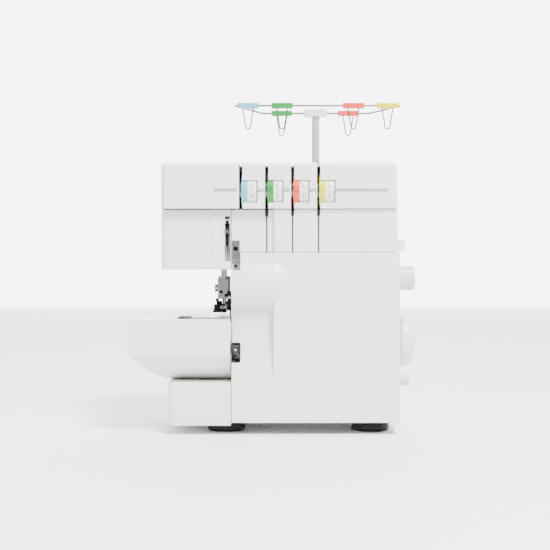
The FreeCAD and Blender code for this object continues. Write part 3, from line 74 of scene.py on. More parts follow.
bpy.ops.mesh.primitive_plane_add(size=10, location=(0, 3.4, 2.0), rotation=(radians(90), 0, 0))
backdrop = bpy.context.object
backdrop.name = "studio_wall"
bpy.ops.object.mode_set(mode="EDIT")
bpy.ops.mesh.select_all(action="SELECT")
bpy.ops.mesh.subdivide(number_cuts=2)
bpy.ops.object.mode_set(mode="OBJECT")
bpy.ops.object.transform_apply(location=True, rotation=True)
wall_finish = bpy.data.materials.new("studio_wall")
wall_finish.use_nodes = True
wall_shader = wall_finish.node_tree.nodes["Principled BSDF"]
wall_shader.inputs["Emission Color"].default_value = (1, 1, 1, 1)
wall_shader.inputs["Emission Strength"].default_value = 5.0
backdrop.data.materials.append(wall_finish)

world = bpy.data.worlds.new("studio_air")
bpy.context.scene.world = world
world.use_nodes = True
world.node_tree.nodes["Background"].inputs["Color"].default_value = (1, 1, 1, 1)
world.node_tree.nodes["Background"].inputs["Strength"].default_value = 0.5

lamp_aim = Vector((0, 0, 0.15))
for lamp_name, place, size, power in (
    ("key_lamp", (0.75, -1.35, 2.2), 0.7, 215),
    ("fill_lamp", (-1.9, -1.6, 1.1), 0.8, 26),
    ("top_lamp", (-0.2, 0.3, 2.1), 1.2, 16),
):
    bpy.ops.object.light_add(type="AREA", location=place)
    lamp = bpy.context.object
    lamp.name = lamp_name
    lamp.data.size = size
    lamp.data.energy = power
    away = Vector(place) - lamp_aim
    lamp.rotation_euler = away.to_track_quat("Z", "Y").to_euler()


# ---------------------------------------------------------------- casing mouldings
# The body is a set of white plastic mouldings with thin open joints between them. Each one is
# the design's own shape with its corners eased, as a moulded part's are, and it carries a fine
# spark-eroded grain under a satin gloss.
def plastic(name, colour, roughness=0.34, grain=900.0, depth=0.05):
    """Moulded plastic: fine grain, a slight cloudiness of colour and a soft gloss."""
    made = bpy.data.materials.new(name)
    made.use_nodes = True
    tree = made.node_tree
    shader = tree.nodes["Principled BSDF"]
    shader.inputs["IOR"].default_value = 1.49
    shader.inputs["Coat Weight"].default_value = 0.12
    shader.inputs["Coat Roughness"].default_value = 0.2
    place = tree.nodes.new("ShaderNodeTexCoord")
    cloud = tree.nodes.new("ShaderNodeTexNoise")
    cloud.inputs["Scale"].default_value = 9.0
    cloud.inputs["Detail"].default_value = 4.0
    tree.links.new(place.outputs["Object"], cloud.inputs["Vector"])
    tone = tree.nodes.new("ShaderNodeValToRGB")
    tone.color_ramp.elements[0].position = 0.3
    tone.color_ramp.elements[0].color = (*[c * 0.965 for c in colour], 1)
    tone.color_ramp.elements[1].position = 0.7
    tone.color_ramp.elements[1].color = (*colour, 1)
    tree.links.new(cloud.outputs["Fac"], tone.inputs["Fac"])
    tree.links.new(tone.outputs["Color"], shader.inputs["Base Color"])
    grit = tree.nodes.new("ShaderNodeTexNoise")
    grit.inputs["Scale"].default_value = grain
    grit.inputs["Detail"].default_value = 3.0
    tree.links.new(place.outputs["Object"], grit.inputs["Vector"])
    sheen = tree.nodes.new("ShaderNodeMapRange")
    sheen.inputs["To Min"].default_value = roughness - 0.04
    sheen.inputs["To Max"].default_value = roughness + 0.06
    tree.links.new(grit.outputs["Fac"], sheen.inputs["Value"])
    tree.links.new(sheen.outputs["Result"], shader.inputs["Roughness"])
    bump = tree.nodes.new("ShaderNodeBump")
    bump.inputs["Strength"].default_value = depth
    bump.inputs["Distance"].default_value = 0.0002
    tree.links.new(grit.outputs["Fac"], bump.inputs["Height"])
    tree.links.new(bump.outputs["Normal"], shader.inputs["Normal"])
    return made


def dress(thing, finish):
    """Gives a piece one finish all over."""
    thing.data.materials.clear()
    thing.data.materials.append(finish)
    for face in thing.data.polygons:
        face.material_index = 0


def pick(piece):
    """Selects one piece alone and makes it the active one."""
    bpy.ops.object.select_all(action="DESELECT")
    piece.select_set(True)
    bpy.context.view_layer.objects.active = piece


def belongs(piece, body):
    """Lets a piece move with a body."""
    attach(piece, body)


def even_shading(piece):
    """Keeps broad flats flat to the eye where they meet a rounded edge."""
    flat = piece.modifiers.new("flat", "WEIGHTED_NORMAL")
    flat.keep_sharp = True
    bpy.ops.object.modifier_apply(modifier="flat")


def eased(node, name, body, finish, width=0.0008, steps=3):
    """A copy of a moulding with its loose triangles joined and its sharp corners rounded."""
    piece = bpy.data.objects.new(name, nodes[node].data.copy())
    bpy.context.scene.collection.objects.link(piece)
    pick(piece)
    bpy.ops.object.mode_set(mode="EDIT")
    bpy.ops.mesh.select_all(action="SELECT")
    bpy.ops.mesh.remove_doubles(threshold=1e-5)
    bpy.ops.mesh.dissolve_limited(angle_limit=radians(0.4))
    bpy.ops.object.mode_set(mode="OBJECT")
    edge = piece.modifiers.new("edge", "BEVEL")
    edge.width = width
    edge.segments = steps
    edge.limit_method = "ANGLE"
    edge.angle_limit = radians(38)
    edge.use_clamp_overlap = False
    edge.miter_outer = "MITER_ARC"
    bpy.ops.object.modifier_apply(modifier="edge")
    bpy.ops.object.shade_smooth_by_angle(angle=smooth_angle)
    even_shading(piece)
    dress(piece, finish)
    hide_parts(node)
    belongs(piece, body)
    return piece


smooth_angle = radians(32)
white = plastic("white_casing", (0.82, 0.805, 0.78))
warm_white = plastic("white_fittings", (0.76, 0.755, 0.745), roughness=0.3)
for node, name, width in (
    ("top_cover", "top_casing", 0.0007),
    ("head_cover", "head_casing", 0.0008),
    ("arm_front_panel", "arm_panel", 0.0006),
    ("rear_casing", "back_casing", 0.0009),
    ("left_base_cover", "base_casing", 0.0009),
    ("base_plate", "bottom_plate", 0.0006),
    ("free_arm_shell", "free_arm", 0.0008),
):
    eased(node, name, "housing", white, width)


# ---------------------------------------------------------------- looper door
# The tall front cover over the loopers, moulded in one piece with the rounded brow at its
# upper left and the shallow hand recess below it. It slides right and tips forward.
eased("looper_door", "front_cover", "looper_door", white, 0.0009)


# ---------------------------------------------------------------- cloth table
# The boat-shaped table that carries the cloth. A hollow moulding that slides over the free arm,
# with a black spring latch at its right end.
eased("cloth_table", "boat_table", "cloth_table", white, 0.0011)
# Black plastic for the real black parts; the same finish also paints the shade in the thread channels
# and in the head slot.
black_plastic_and_painted_shade = plastic("black_plastic_and_painted_shade", (0.010, 0.010, 0.011), roughness=0.46)
eased("table_latch", "table_catch", "table_latch", black_plastic_and_painted_shade, 0.0004)
dot_place = (-0.0434, -0.1352, 0.0935)
bpy.ops.object.select_all(action="DESELECT")
bpy.ops.mesh.primitive_uv_sphere_add(segments=20, ring_count=10, radius=0.0011, location=dot_place)
dot = bpy.context.object
dot.name = "catch_dot"
bpy.ops.object.mode_set(mode="EDIT")
bpy.ops.mesh.select_all(action="SELECT")
bpy.ops.transform.resize(value=(1, 0.35, 1), center_override=dot_place)
bpy.ops.object.mode_set(mode="OBJECT")
bpy.ops.object.transform_apply(location=True)
bpy.ops.object.shade_smooth()
dress(dot, warm_white)
belongs(dot, "table_latch")


# ---------------------------------------------------------------- rubber feet
# Four round feet of soft black rubber, a push fit in the floor moulding. The rubber is slightly
# dusty, lighter and duller in faint random patches.
def rubber(name, colour):
    """Matte rubber with a faint bloom and a pebbled skin."""
    made = bpy.data.materials.new(name)
    made.use_nodes = True
    tree = made.node_tree
    shader = tree.nodes["Principled BSDF"]
    shader.inputs["Specular IOR Level"].default_value = 0.35
    place = tree.nodes.new("ShaderNodeTexCoord")
    bloom = tree.nodes.new("ShaderNodeTexNoise")
    bloom.inputs["Scale"].default_value = 60.0
    bloom.inputs["Detail"].default_value = 6.0
    tree.links.new(place.outputs["Object"], bloom.inputs["Vector"])
    tone = tree.nodes.new("ShaderNodeValToRGB")
    tone.color_ramp.elements[0].color = (*colour, 1)
    tone.color_ramp.elements[1].color = (*[min(1, c * 1.9 + 0.004) for c in colour], 1)
    tree.links.new(bloom.outputs["Fac"], tone.inputs["Fac"])
    tree.links.new(tone.outputs["Color"], shader.inputs["Base Color"])
    dull = tree.nodes.new("ShaderNodeMapRange")
    dull.inputs["To Min"].default_value = 0.62
    dull.inputs["To Max"].default_value = 0.82
    tree.links.new(bloom.outputs["Fac"], dull.inputs["Value"])
    tree.links.new(dull.outputs["Result"], shader.inputs["Roughness"])
    pebble = tree.nodes.new("ShaderNodeTexVoronoi")
    pebble.inputs["Scale"].default_value = 1400.0
    tree.links.new(place.outputs["Object"], pebble.inputs["Vector"])
    bump = tree.nodes.new("ShaderNodeBump")
    bump.inputs["Strength"].default_value = 0.12
    bump.inputs["Distance"].default_value = 0.0002
    tree.links.new(pebble.outputs["Distance"], bump.inputs["Height"])
    tree.links.new(bump.outputs["Normal"], shader.inputs["Normal"])
    return made


black_rubber = rubber("black_rubber", (0.014, 0.014, 0.015))
dress(nodes["rubber_feet"], black_rubber)
dress(nodes["drive_belt"], black_rubber)


# ---------------------------------------------------------------- polished and brushed metal
# Bars, clamps, loopers and thread guides are chrome plated steel. Flat ground pieces and turned
# ones show their grinding lines, and the frame is a grey pressure die casting.
def metal(name, colour, roughness, stretch=(1, 1, 1), scale=500.0, depth=0.06):
    """Bare metal whose fine lines run across the direction that is stretched."""
    made = bpy.data.materials.new(name)
    made.use_nodes = True
    tree = made.node_tree
    shader = tree.nodes["Principled BSDF"]
    shader.inputs["Metallic"].default_value = 1.0
    place = tree.nodes.new("ShaderNodeTexCoord")
    turn = tree.nodes.new("ShaderNodeMapping")
    turn.inputs["Scale"].default_value = stretch
    tree.links.new(place.outputs["Object"], turn.inputs["Vector"])
    lines = tree.nodes.new("ShaderNodeTexNoise")
    lines.inputs["Scale"].default_value = scale
    lines.inputs["Detail"].default_value = 4.0
    tree.links.new(turn.outputs["Vector"], lines.inputs["Vector"])
    tone = tree.nodes.new("ShaderNodeValToRGB")
    tone.color_ramp.elements[0].color = (*[c * 0.82 for c in colour], 1)
    tone.color_ramp.elements[1].color = (*colour, 1)
    tree.links.new(lines.outputs["Fac"], tone.inputs["Fac"])
    tree.links.new(tone.outputs["Color"], shader.inputs["Base Color"])
    spread = tree.nodes.new("ShaderNodeMapRange")
    spread.inputs["To Min"].default_value = max(0.05, roughness - 0.06)
    spread.inputs["To Max"].default_value = roughness + 0.08
    tree.links.new(lines.outputs["Fac"], spread.inputs["Value"])
    tree.links.new(spread.outputs["Result"], shader.inputs["Roughness"])
    bump = tree.nodes.new("ShaderNodeBump")
    bump.inputs["Strength"].default_value = depth
    bump.inputs["Distance"].default_value = 0.0001
    tree.links.new(lines.outputs["Fac"], bump.inputs["Height"])
    tree.links.new(bump.outputs["Normal"], shader.inputs["Normal"])
    return made


def coated(node, finish):
    """Dresses one of the design's own meshes as it stands, its curved sides shaded smooth."""
    dress(nodes[node], finish)
    pick(nodes[node])
    bpy.ops.object.shade_smooth_by_angle(angle=smooth_angle)


chrome = metal("chrome_plate", (0.62, 0.62, 0.63), 0.14, scale=300.0, depth=0.02)
ground_steel = metal("ground_steel", (0.42, 0.42, 0.43), 0.3, stretch=(0.05, 1, 1), scale=1600.0)
turned_steel = metal("turned_steel", (0.5, 0.5, 0.51), 0.26, stretch=(1, 0.1, 0.1), scale=1800.0)
die_cast = metal("die_cast", (0.4, 0.405, 0.41), 0.52, scale=700.0, depth=0.35)
black_steel = metal("black_steel", (0.014, 0.014, 0.016), 0.3, scale=900.0)
milled_steel = metal("milled_steel", (0.27, 0.25, 0.25), 0.34, stretch=(1, 1, 0.05), scale=1500.0)
dark_wire = metal("dark_wire", (0.16, 0.165, 0.17), 0.3, scale=900.0)
for node, finish in (
    ("main_frame", die_cast),
    ("main_shaft", turned_steel),
    ("motor_pulley", turned_steel),
    ("tension_axle", turned_steel),
    ("presser_spring", turned_steel),
    ("needle_bar", chrome),
    ("presser_bar", chrome),
    ("needles", chrome),
    ("take_up_lever", chrome),
    ("lower_looper", chrome),
    ("upper_looper", chrome),
    ("lower_knife", ground_steel),
    ("main_feed_dog", ground_steel),
    ("differential_feed_dog", ground_steel),
    ("thread_hooks", dark_wire),
    ("guide_wire_frame", dark_wire),
):
    coated(node, finish)
black_enamel = plastic("black_enamel", (0.03, 0.03, 0.033), roughness=0.42, grain=1500.0, depth=0.12)
dress(nodes["motor"], black_enamel)
dark_nylon = plastic("dark_nylon", (0.05, 0.05, 0.055), roughness=0.5)
dress(nodes["shaft_pulley"], dark_nylon)
dress(nodes["door_hinge_sleeve"], warm_white)


# ---------------------------------------------------------------- tension dials
# Four dials on one axle, each a coloured finger rim beside a white band printed with numerals.
# Only a slice of each stands out of its window in the top cover.
def knurled(name, centre, radius, left, right, ribs, depth, finish, chamfer=0.0004):
    """A drum along X whose rim is cut into ribs by pushing alternate faces inwards."""
    bpy.ops.object.select_all(action="DESELECT")
    bpy.ops.mesh.primitive_cylinder_add(
        vertices=ribs * 2,
        radius=radius,
        depth=right - left,
        location=((left + right) / 2, centre[0], centre[1]),
        rotation=(0, radians(90), 0),
    )
    drum = bpy.context.object
    drum.name = name
    bpy.ops.object.transform_apply(location=True, rotation=True)
    bpy.ops.object.mode_set(mode="EDIT")
    bpy.ops.mesh.select_mode(type="FACE")
    bpy.ops.mesh.select_all(action="DESELECT")
    mesh = bmesh.from_edit_mesh(drum.data)
    sides = [f for f in mesh.faces if abs(f.normal.x) < 0.5]
    sides.sort(key=lambda f: Vector((0, 1, 0)).angle(f.normal) * (1 if f.normal.z > 0 else -1))
    for number, face in enumerate(sides):
        face.select = number % 2 == 0
    bmesh.update_edit_mesh(drum.data)
    bpy.ops.mesh.inset(thickness=chamfer, depth=-depth, use_individual=True)
    bpy.ops.mesh.select_all(action="DESELECT")
    mesh = bmesh.from_edit_mesh(drum.data)
    for face in mesh.faces:
        face.select = abs(face.normal.x) > 0.9 and len(face.verts) > 8
    bmesh.update_edit_mesh(drum.data)
    bpy.ops.mesh.inset(thickness=chamfer * 1.5, depth=chamfer)
    bpy.ops.object.mode_set(mode="OBJECT")
    bpy.ops.object.shade_smooth_by_angle(angle=radians(28))
    dress(drum, finish)
    return drum


def block(name, low, high, width, finish, steps=3):
    """A moulded or milled block between two corners, its edges rounded by the given width."""
    bpy.ops.object.select_all(action="DESELECT")
    middle = [(a + b) / 2 for a, b in zip(low, high)]
    bpy.ops.mesh.primitive_cube_add(size=1, location=middle)
    piece = bpy.context.object
    piece.name = name
    bpy.ops.object.mode_set(mode="EDIT")
    bpy.ops.mesh.select_all(action="SELECT")
    bpy.ops.transform.resize(
        value=[b - a for a, b in zip(low, high)],
        center_override=middle,
    )
    bpy.ops.mesh.bevel(offset=width, segments=steps)
    bpy.ops.object.mode_set(mode="OBJECT")
    bpy.ops.object.transform_apply(location=True)
    bpy.ops.object.shade_smooth_by_angle(angle=smooth_angle)
    dress(piece, finish)
    return piece


def printed(text, name, place, body, finish, size=0.0058):
    """One printed character as a thin raised mark: made flat, then set on its surface."""
    bpy.ops.object.select_all(action="DESELECT")
    bpy.ops.object.text_add(location=(0, 0, 0))
    mark = bpy.context.object
    mark.data.body = text
    mark.data.size = size
    mark.data.align_x = "CENTER"
    mark.data.align_y = "CENTER"
    mark.data.extrude = 0.00004
    bpy.ops.object.convert(target="MESH")
    mark = bpy.context.object
    mark.name = name
    mark.data.transform(place)
    dress(mark, finish)
    belongs(mark, body)
    return mark


ink = plastic("printed_ink", (0.03, 0.03, 0.035), roughness=0.6, depth=0.0)
dial_colours = {
    "blue": (0.14, 0.42, 0.56),
    "green": (0.008, 0.24, 0.035),
    "red": (0.72, 0.06, 0.035),
    "yellow": (0.66, 0.60, 0.001),
}
clip_finish = {}
scale_step = 0.0007
for tint, rgb in dial_colours.items():
    clip_finish[tint] = plastic(tint + "_plastic", rgb, roughness=0.3)
    low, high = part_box("tension_dial_" + tint)
    centre = ((low.y + high.y) / 2, (low.z + high.z) / 2)
    radius = (high.z - low.z) / 2
    body = "dial_" + tint
    seam = low.x + 0.0054
    rim = knurled("dial_rim_" + tint, centre, radius, low.x - 0.0007, seam, 30, 0.0005,
                  clip_finish[tint], 0.0003)
    bpy.ops.object.mode_set(mode="EDIT")
    bpy.ops.mesh.select_all(action="DESELECT")
    mesh = bmesh.from_edit_mesh(rim.data)
    for face in mesh.faces:
        face.select = len(face.verts) > 8 and face.normal.x < -0.9
    bmesh.update_edit_mesh(rim.data)
    bpy.ops.mesh.inset(thickness=0.0055)
    bpy.ops.mesh.extrude_region_move(TRANSFORM_OT_translate={"value": (0.0018, 0, 0)})
    bpy.ops.object.mode_set(mode="OBJECT")
    bpy.ops.object.select_all(action="DESELECT")
    bpy.ops.mesh.primitive_cylinder_add(
        vertices=96,
        radius=radius - scale_step,
        depth=high.x - seam - 0.0002,
        location=((seam + high.x) / 2, *centre),
        rotation=(0, radians(90), 0),
    )
    band = bpy.context.object
    band.name = "dial_scale_" + tint
    bpy.ops.object.transform_apply(location=True, rotation=True)
    edge = band.modifiers.new("edge", "BEVEL")
    edge.width = 0.0005
    edge.segments = 3
    edge.limit_method = "ANGLE"
    bpy.ops.object.modifier_apply(modifier="edge")
    bpy.ops.object.shade_smooth_by_angle(angle=radians(30))
    dress(band, warm_white)
    for piece in (rim, band):
        belongs(piece, body)
    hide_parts("tension_dial_" + tint)
    for number in range(10):
        mark = printed(str(number), "dial_%s_%d" % (tint, number), Matrix.Identity(4), body,
                       ink)
        for vertex in mark.data.vertices:
            angle = radians(number * 30 - 135) + vertex.co.y / radius
            reach = radius - scale_step + vertex.co.z
            vertex.co = (
                (seam + high.x) / 2 - 0.0006 + vertex.co.x,
                centre[0] - cos(angle) * reach,
                centre[1] + sin(angle) * reach,
            )
    pointer = block("dial_pointer_" + tint, (high.x + 0.0010, -0.1343, centre[1] - 0.00045),
                    (high.x + 0.0034, -0.1339, centre[1] + 0.00045), 0.00012, ink, 2)
    belongs(pointer, "housing")


# ---------------------------------------------------------------- grey trim line
# A light grey line printed across the top cover, broken by the thread channels and the dials.
trim_grey = plastic("trim_grey", (0.34, 0.345, 0.35), roughness=0.4)
for number, (left, right) in enumerate((
    (-0.0675, -0.0420),
    (-0.0185, -0.0125),
    (0.0101, 0.0161),
    (0.0387, 0.0447),
    (0.0673, 0.1238),
)):
    line = block("trim_line_%d" % number, (left, -0.13419, 0.26765), (right, -0.13389, 0.27125),
                 0.0001, trim_grey, 2)
    belongs(line, "housing")


# ---------------------------------------------------------------- handwheel and side dials
# Moulded controls on the right-hand end. The handwheel has a smooth rim with one shallow groove
# round it, and the two dials have deep ribs and a raised pointer line.
def turned_edge(name, centre, profile, finish, steps=96):
    """A shape spun round an axis along X from its half outline of (x, radius) points."""
    mesh = bpy.data.meshes.new(name)
    mesh.from_pydata([(x, centre[0], centre[1] + r) for x, r in profile],
                     [(i, i + 1) for i in range(len(profile) - 1)], [])
    piece = bpy.data.objects.new(name, mesh)
    bpy.context.scene.collection.objects.link(piece)
    pick(piece)
    bpy.ops.object.mode_set(mode="EDIT")
    bpy.ops.mesh.select_all(action="SELECT")
    bpy.ops.mesh.spin(steps=steps, angle=2 * pi, center=(0, *centre), axis=(1, 0, 0))
    bpy.ops.mesh.select_all(action="SELECT")
    bpy.ops.mesh.remove_doubles(threshold=1e-6)
    bpy.ops.mesh.normals_make_consistent(inside=False)
    bpy.ops.object.mode_set(mode="OBJECT")
    bpy.ops.object.shade_smooth_by_angle(angle=radians(35))
    dress(piece, finish)
    return piece


low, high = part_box("handwheel")
hub = ((low.y + high.y) / 2, (low.z + high.z) / 2)
rim_radius = (high.z - low.z) / 2
face = turned_edge("wheel_face", hub, [
    (low.x + 0.0002, 0.0),
    (low.x + 0.0002, 0.0135),
    (low.x + 0.0040, 0.0140),
    (low.x + 0.0042, rim_radius - 0.0030),
    (low.x + 0.0052, rim_radius - 0.0012),
    (low.x + 0.0072, rim_radius - 0.0002),
    (low.x + 0.0090, rim_radius),
    (low.x + 0.0092, rim_radius - 0.0005),
    (low.x + 0.0098, rim_radius - 0.0005),
    (low.x + 0.0100, rim_radius),
    (low.x + 0.0120, rim_radius - 0.0001),
    (low.x + 0.0150, rim_radius - 0.0008),
    (low.x + 0.0178, rim_radius - 0.0022),
    (low.x + 0.0195, rim_radius - 0.0040),
    (low.x + 0.0208, rim_radius - 0.0060),
    (low.x + 0.0212, rim_radius - 0.0085),
    (low.x + 0.0205, rim_radius - 0.0115),
    (low.x + 0.0185, rim_radius - 0.0140),
    (low.x + 0.0172, 0.0135),
    (low.x + 0.0172, 0.0122),
    (low.x + 0.0198, 0.0112),
    (low.x + 0.0203, 0.0098),
    (low.x + 0.0203, 0.0),
], warm_white)
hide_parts("handwheel")
belongs(face, "drive_shaft")

side_on = Matrix(((0, 0, 1, 0), (1, 0, 0, 0), (0, 1, 0, 0), (0, 0, 0, 1)))
print_face = 0.13806
skirt = 0.1383
spindle_radius = 0.0028
for node, body, ribs, depth in (
    ("stitch_length_dial", "stitch_dial", 26, 0.0009),
    ("differential_feed_dial", "feed_dial", 18, 0.0006),
):
    low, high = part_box(node)
    hub = ((low.y + high.y) / 2, (low.z + high.z) / 2)
    radius = (high.z - low.z) / 2
    grip = knurled(node + "_grip", hub, radius, skirt + 0.0012, high.x - 0.0022, ribs, depth,
                   warm_white, 0.0003)
    cap = turned_edge(node + "_cap", hub, [
        (0.1245, 0.0),
        (0.1245, spindle_radius),
        (skirt, spindle_radius),
        (skirt, radius - 0.0004),
        (skirt + 0.0012, radius - 0.0002),
        (skirt + 0.0014, radius - depth - 0.0002),
        (high.x - 0.0024, radius - depth - 0.0002),
        (high.x - 0.0010, radius - 0.0012),
        (high.x - 0.0002, radius - 0.0024),
        (high.x, radius - 0.0034),
        (high.x, 0.0),
    ], warm_white)
    mark = block(node + "_mark", (high.x - 0.00008, hub[0] - 0.00045, hub[1] + radius * 0.3),
                 (high.x + 0.00012, hub[0] + 0.00045, hub[1] + radius * 0.8), 0.00005, ink, 2)
    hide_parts(node)
    for piece in (grip, cap, mark):
        belongs(piece, body)
    for number, step in enumerate(range(-2, 3)):
        angle = radians(step * 32)
        out = Vector((0, sin(angle), cos(angle)))
        spot = Vector((print_face, *hub)) + out * (radius + 0.0048)
        printed(str(number + 1), "%s_%d" % (node, number + 1),
                Matrix.Translation(spot) @ side_on, "housing", ink)


# ---------------------------------------------------------------- face plate and thread slot
# A thin cover on the head over the needle bar, clipped on and notched round the slot that the
# take-up lever works in. Bright guide strips and a notched white block stand in the slot, in
# front of a black sheet that paints the shade inside it.
def notched(piece, low, high):
    """Cuts a straight-sided opening between two corners through a piece."""
    tool = block("notch_tool", low, high, 0.00004, white, 1)
    cut = piece.modifiers.new("notch", "BOOLEAN")
    cut.operation = "DIFFERENCE"
    cut.solver = "EXACT"
    cut.object = tool
    pick(piece)
    bpy.ops.object.modifier_apply(modifier="notch")
    bpy.data.objects.remove(tool, do_unlink=True)


plate = block("face_plate", (-0.0700, -0.1268, 0.1832), (-0.0486, -0.1255, 0.2425), 0.0006, white)
notched(plate, (-0.0557, -0.1290, 0.1908), (-0.0470, -0.1230, 0.2411))
belongs(plate, "housing")
for number, (left, right, foot, head) in enumerate((
    (-0.0553, -0.0526, 0.1915, 0.2075),
    (-0.0518, -0.0502, 0.1915, 0.2075),
    (-0.0554, -0.0545, 0.2080, 0.2300),
    (-0.0511, -0.0502, 0.2080, 0.2300),
)):
    strip = block("slot_strip_%d" % number, (left, -0.1262, foot), (right, -0.1232, head),
                  0.0002, ground_steel)
    belongs(strip, "housing")
guide = block("slot_guide", (-0.0555, -0.1262, 0.2328), (-0.0501, -0.1230, 0.2376), 0.0005,
              warm_white)
notched(guide, (-0.0545, -0.1290, 0.2300), (-0.0511, -0.1200, 0.2366))
belongs(guide, "housing")
# A black sheet behind the slot opening paints the shade inside the head.
slot_shade_sheet = block("slot_painted_shade", (-0.0562, -0.1225, 0.1895), (-0.0496, -0.1218, 0.2420), 0.0002,
              black_plastic_and_painted_shade)
notched(slot_shade_sheet, (-0.0543, -0.1240, 0.1925), (-0.0513, -0.1200, 0.2350))
belongs(slot_shade_sheet, "housing")


# ---------------------------------------------------------------- thread guides on the arm
# A bright steel plate held by one slotted screw, with a black eyelet below it. Thin black
# strips at the back of the long thread channels in the arm panel paint the shade inside them.
dress(nodes["thread_guide_plate"], chrome)


def screw(name, centre, axis, radius, proud, finish, body):
    """A slotted cheese-head screw: a turned head with an eased rim and a cut slot."""
    bpy.ops.object.select_all(action="DESELECT")
    bpy.ops.mesh.primitive_cylinder_add(vertices=40, radius=radius, depth=proud)
    head = bpy.context.object
    head.name = name
    rim = head.modifiers.new("rim", "BEVEL")
    rim.width = radius * 0.14
    rim.segments = 3
    rim.limit_method = "ANGLE"
    bpy.ops.object.modifier_apply(modifier="rim")
    notched(head, (-radius * 1.4, -radius * 0.13, proud * 0.05), (radius * 1.4, radius * 0.13, proud))
    bpy.ops.object.shade_smooth_by_angle(angle=smooth_angle)
    head.data.transform(Vector(axis).to_track_quat("Z", "Y").to_matrix().to_4x4())
    head.data.transform(Matrix.Translation(centre))
    dress(head, finish)
    belongs(head, body)


def bent_wire(name, radius, points, finish):
    """A round wire bent smoothly along a few points, with closed ends."""
    line = bpy.data.curves.new(name, "CURVE")
    line.dimensions = "3D"
    line.bevel_depth = radius
    line.bevel_resolution = 3
    line.use_fill_caps = True
    run = line.splines.new("NURBS")
    run.points.add(len(points) - 1)
    for spot, place in zip(run.points, points):
        spot.co = (*place, 1)
    run.order_u = 3
    run.use_endpoint_u = True
    wire = bpy.data.objects.new(name, line)
    bpy.context.scene.collection.objects.link(wire)
    line.materials.append(finish)
    return wire


screw("guide_screw", (-0.0436, -0.1283, 0.2050), (0, -1, 0), 0.0026, 0.0014, black_steel,
      "housing")
eyelet = block("guide_eyelet", (-0.0455, -0.1273, 0.1840), (-0.0417, -0.1258, 0.1874), 0.0005,
               black_plastic_and_painted_shade)
notched(eyelet, (-0.0440, -0.1300, 0.1853), (-0.0432, -0.1240, 0.1861))
belongs(eyelet, "housing")
guide_hook = bent_wire("guide_hook", 0.00045, (
    (-0.0404, -0.1274, 0.2020),
    (-0.0398, -0.1296, 0.2020),
    (-0.0391, -0.1306, 0.2005),
    (-0.0391, -0.1306, 0.1975),
    (-0.0399, -0.1304, 0.1955),
    (-0.0411, -0.1300, 0.1960),
), dark_wire)
belongs(guide_hook, "housing")
low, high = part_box("tension_dial_blue")
dial_pitch = 0.0286
# Black strips on the floor of each thread channel paint the shade of the channel's depth.
for number in range(1, 4):
    x = low.x + dial_pitch * number - 0.0018
    face_y = -0.1255 if number == 1 else -0.1305
    channel_shade_strip = block("channel_painted_shade_%d" % number, (x - 0.00075, face_y, 0.2010),
                   (x + 0.00075, face_y + 0.0006, 0.2478), 0.0001, black_plastic_and_painted_shade, 2)
    belongs(channel_shade_strip, "housing")


# ---------------------------------------------------------------- needle clamp and presser
# Milled steel blocks on the ends of the two bars. The clamp holds both needles with set screws,
# and the presser holder has a release lever on its left and carries the hinged foot.
eased("needle_clamp", "needle_block", "needle_bar", milled_steel, 0.0008)
for number, (x, z) in enumerate(((-0.0618, 0.1560), (-0.0562, 0.1520))):
    screw("needle_screw_%d" % number, (x, -0.0806, z), (0, -1, 0), 0.0019, 0.0014, black_steel,
          "needle_bar")
eased("presser_foot_holder", "presser_block", "presser_bar", milled_steel, 0.0008)
knob = turned_edge("holder_thumb_screw", (-0.058, 0.1600), [
    (-0.0706, 0.0),
    (-0.0706, 0.0034),
    (-0.0700, 0.0042),
    (-0.0672, 0.0042),
    (-0.0668, 0.0036),
    (-0.0668, 0.0020),
    (-0.0655, 0.0020),
    (-0.0655, 0.0),
], turned_steel, 40)
belongs(knob, "presser_bar")
lever = block("foot_release", (-0.0692, -0.0640, 0.1440), (-0.0656, -0.0560, 0.1482), 0.0008,
              black_plastic_and_painted_shade)
belongs(lever, "presser_bar")
eased("presser_foot", "hinged_foot", "presser_foot", black_steel, 0.0004)
window = block("foot_window", (-0.0625, -0.0853, 0.1370), (-0.0560, -0.0848, 0.1402), 0.0002,
               chrome)
notched(window, (-0.0612, -0.0860, 0.1379), (-0.0573, -0.0840, 0.1393))
belongs(window, "presser_foot")
foot_loop = bent_wire("foot_thread_loop", 0.0004, (
    (-0.0690, -0.0820, 0.1405),
    (-0.0712, -0.0835, 0.1425),
    (-0.0718, -0.0850, 0.1400),
    (-0.0716, -0.0862, 0.1370),
    (-0.0708, -0.0868, 0.1345),
), dark_wire)
belongs(foot_loop, "presser_foot")
dress(nodes["presser_lifter"], black_plastic_and_painted_shade)


# ---------------------------------------------------------------- upper knife
# The driven cutting blade in a blackened steel holder beside the foot, held by one screw.
eased("upper_knife", "cutting_knife", "upper_knife", black_steel, 0.0003)
screw("knife_screw", (-0.0523, -0.0896, 0.1500), (0, -1, 0), 0.0017, 0.0012, chrome,
      "upper_knife")


# ---------------------------------------------------------------- needle plate
# A ground steel plate screwed to the free arm, with four stitch-width lines printed across it.
eased("needle_plate", "stitch_plate", "housing", ground_steel, 0.0002)
for number, (x, y) in enumerate(((-0.0905, -0.0930), (-0.0905, -0.0510))):
    screw("plate_screw_%d" % number, (x, y, 0.1273), (0, 0, 1), 0.0026, 0.0008, chrome,
          "housing")
for number in range(4):
    y = -0.0960 + number * 0.004
    line = block("plate_line_%d" % number, (-0.0840, y, 0.12699), (-0.0740, y + 0.0005, 0.12712),
                 0.00004, ink, 1)
    belongs(line, "housing")


# ---------------------------------------------------------------- carrying handle and presser knob
# The folding handle is a thick moulded bar in its bay on top. The presser pressure knob beside
# it stands just clear of the cover and has a screwdriver slot.
eased("carrying_handle", "fold_handle", "carrying_handle", warm_white, 0.0011)
eased("pressure_adjuster", "pressure_knob", "pressure_adjuster", warm_white, 0.0003)


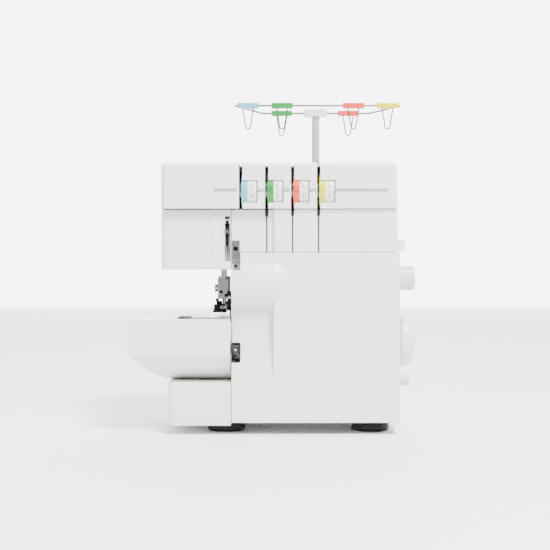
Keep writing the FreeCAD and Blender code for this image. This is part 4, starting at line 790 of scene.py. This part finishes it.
# ---------------------------------------------------------------- power switch and inlet
# A black snap-in rocker switch with its on and off marks, above the socket for the lead.
eased("switch_and_power_inlet", "switch_frame", "housing", black_plastic_and_painted_shade, 0.0004)
eased("power_rocker", "switch_rocker", "power_rocker", black_plastic_and_painted_shade, 0.0004)
mark_white = plastic("mark_white", (0.85, 0.85, 0.85), roughness=0.5, depth=0.0)
low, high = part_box("power_rocker")
for text, z in (("I", 0.0830), ("O", 0.0730)):
    place = Matrix.Translation((high.x - 0.0004, 0.0040, z)) @ side_on
    printed(text, "switch_mark_" + text, place, "power_rocker", mark_white, 0.0050)
for number, y in enumerate((-0.0010, 0.0090)):
    pin = turned_edge("inlet_pin_%d" % number, (y, 0.0400), [
        (0.1285, 0.0),
        (0.1285, 0.0012),
        (0.1358, 0.0012),
        (0.1366, 0.0008),
        (0.1368, 0.0),
    ], chrome, 24)
    belongs(pin, "housing")


# ---------------------------------------------------------------- spool stand and thread tree
# A white shelf behind the machine with four pins for thread cones and a two-piece grey pole.
# The bent wire frame on top carries coloured clips, each with a wire hook for its thread.
pole_grey = plastic("pole_grey", (0.36, 0.37, 0.365), roughness=0.36)
foam = rubber("grey_foam", (0.30, 0.30, 0.31))
for node, finish in (
    ("spool_stand", white),
    ("spool_pins", warm_white),
    ("spool_holders", foam),
    ("pole_lower_tube", warm_white),
    ("pole_upper_tube", pole_grey),
):
    coated(node, finish)
eased("guide_hub", "tree_hub", "thread_guide", warm_white, 0.0006)
for tint in dial_colours:
    eased("thread_clip_" + tint, "hook_clip_" + tint, "thread_guide", clip_finish[tint], 0.0005)


# ---------------------------------------------------------------- back, side and floor fixings
# The casing is held by deep screws at the back and under the floor, and the motor breathes
# through a row of slots low in the back.
back = bpy.data.objects["back_casing"]
vent_pitch = 0.0085
vent_width = 0.0032
for number in range(9):
    x = 0.030 + number * vent_pitch
    notched(back, (x, 0.0200, 0.0360), (x + vent_width, 0.0300, 0.0760))
even_shading(back)
for number, (x, z) in enumerate(((-0.036, 0.030), (0.126, 0.030), (-0.036, 0.190), (0.126, 0.190))):
    screw("back_screw_%d" % number, (x, 0.0262, z), (0, 1, 0), 0.0036, 0.0012, black_steel,
          "housing")
for number, (x, y) in enumerate(((-0.100, -0.115), (-0.100, 0.008), (0.0, -0.050), (0.122, -0.050))):
    screw("floor_screw_%d" % number, (x, y, 0.0098), (0, 0, -1), 0.0036, 0.0010, black_steel,
          "housing")
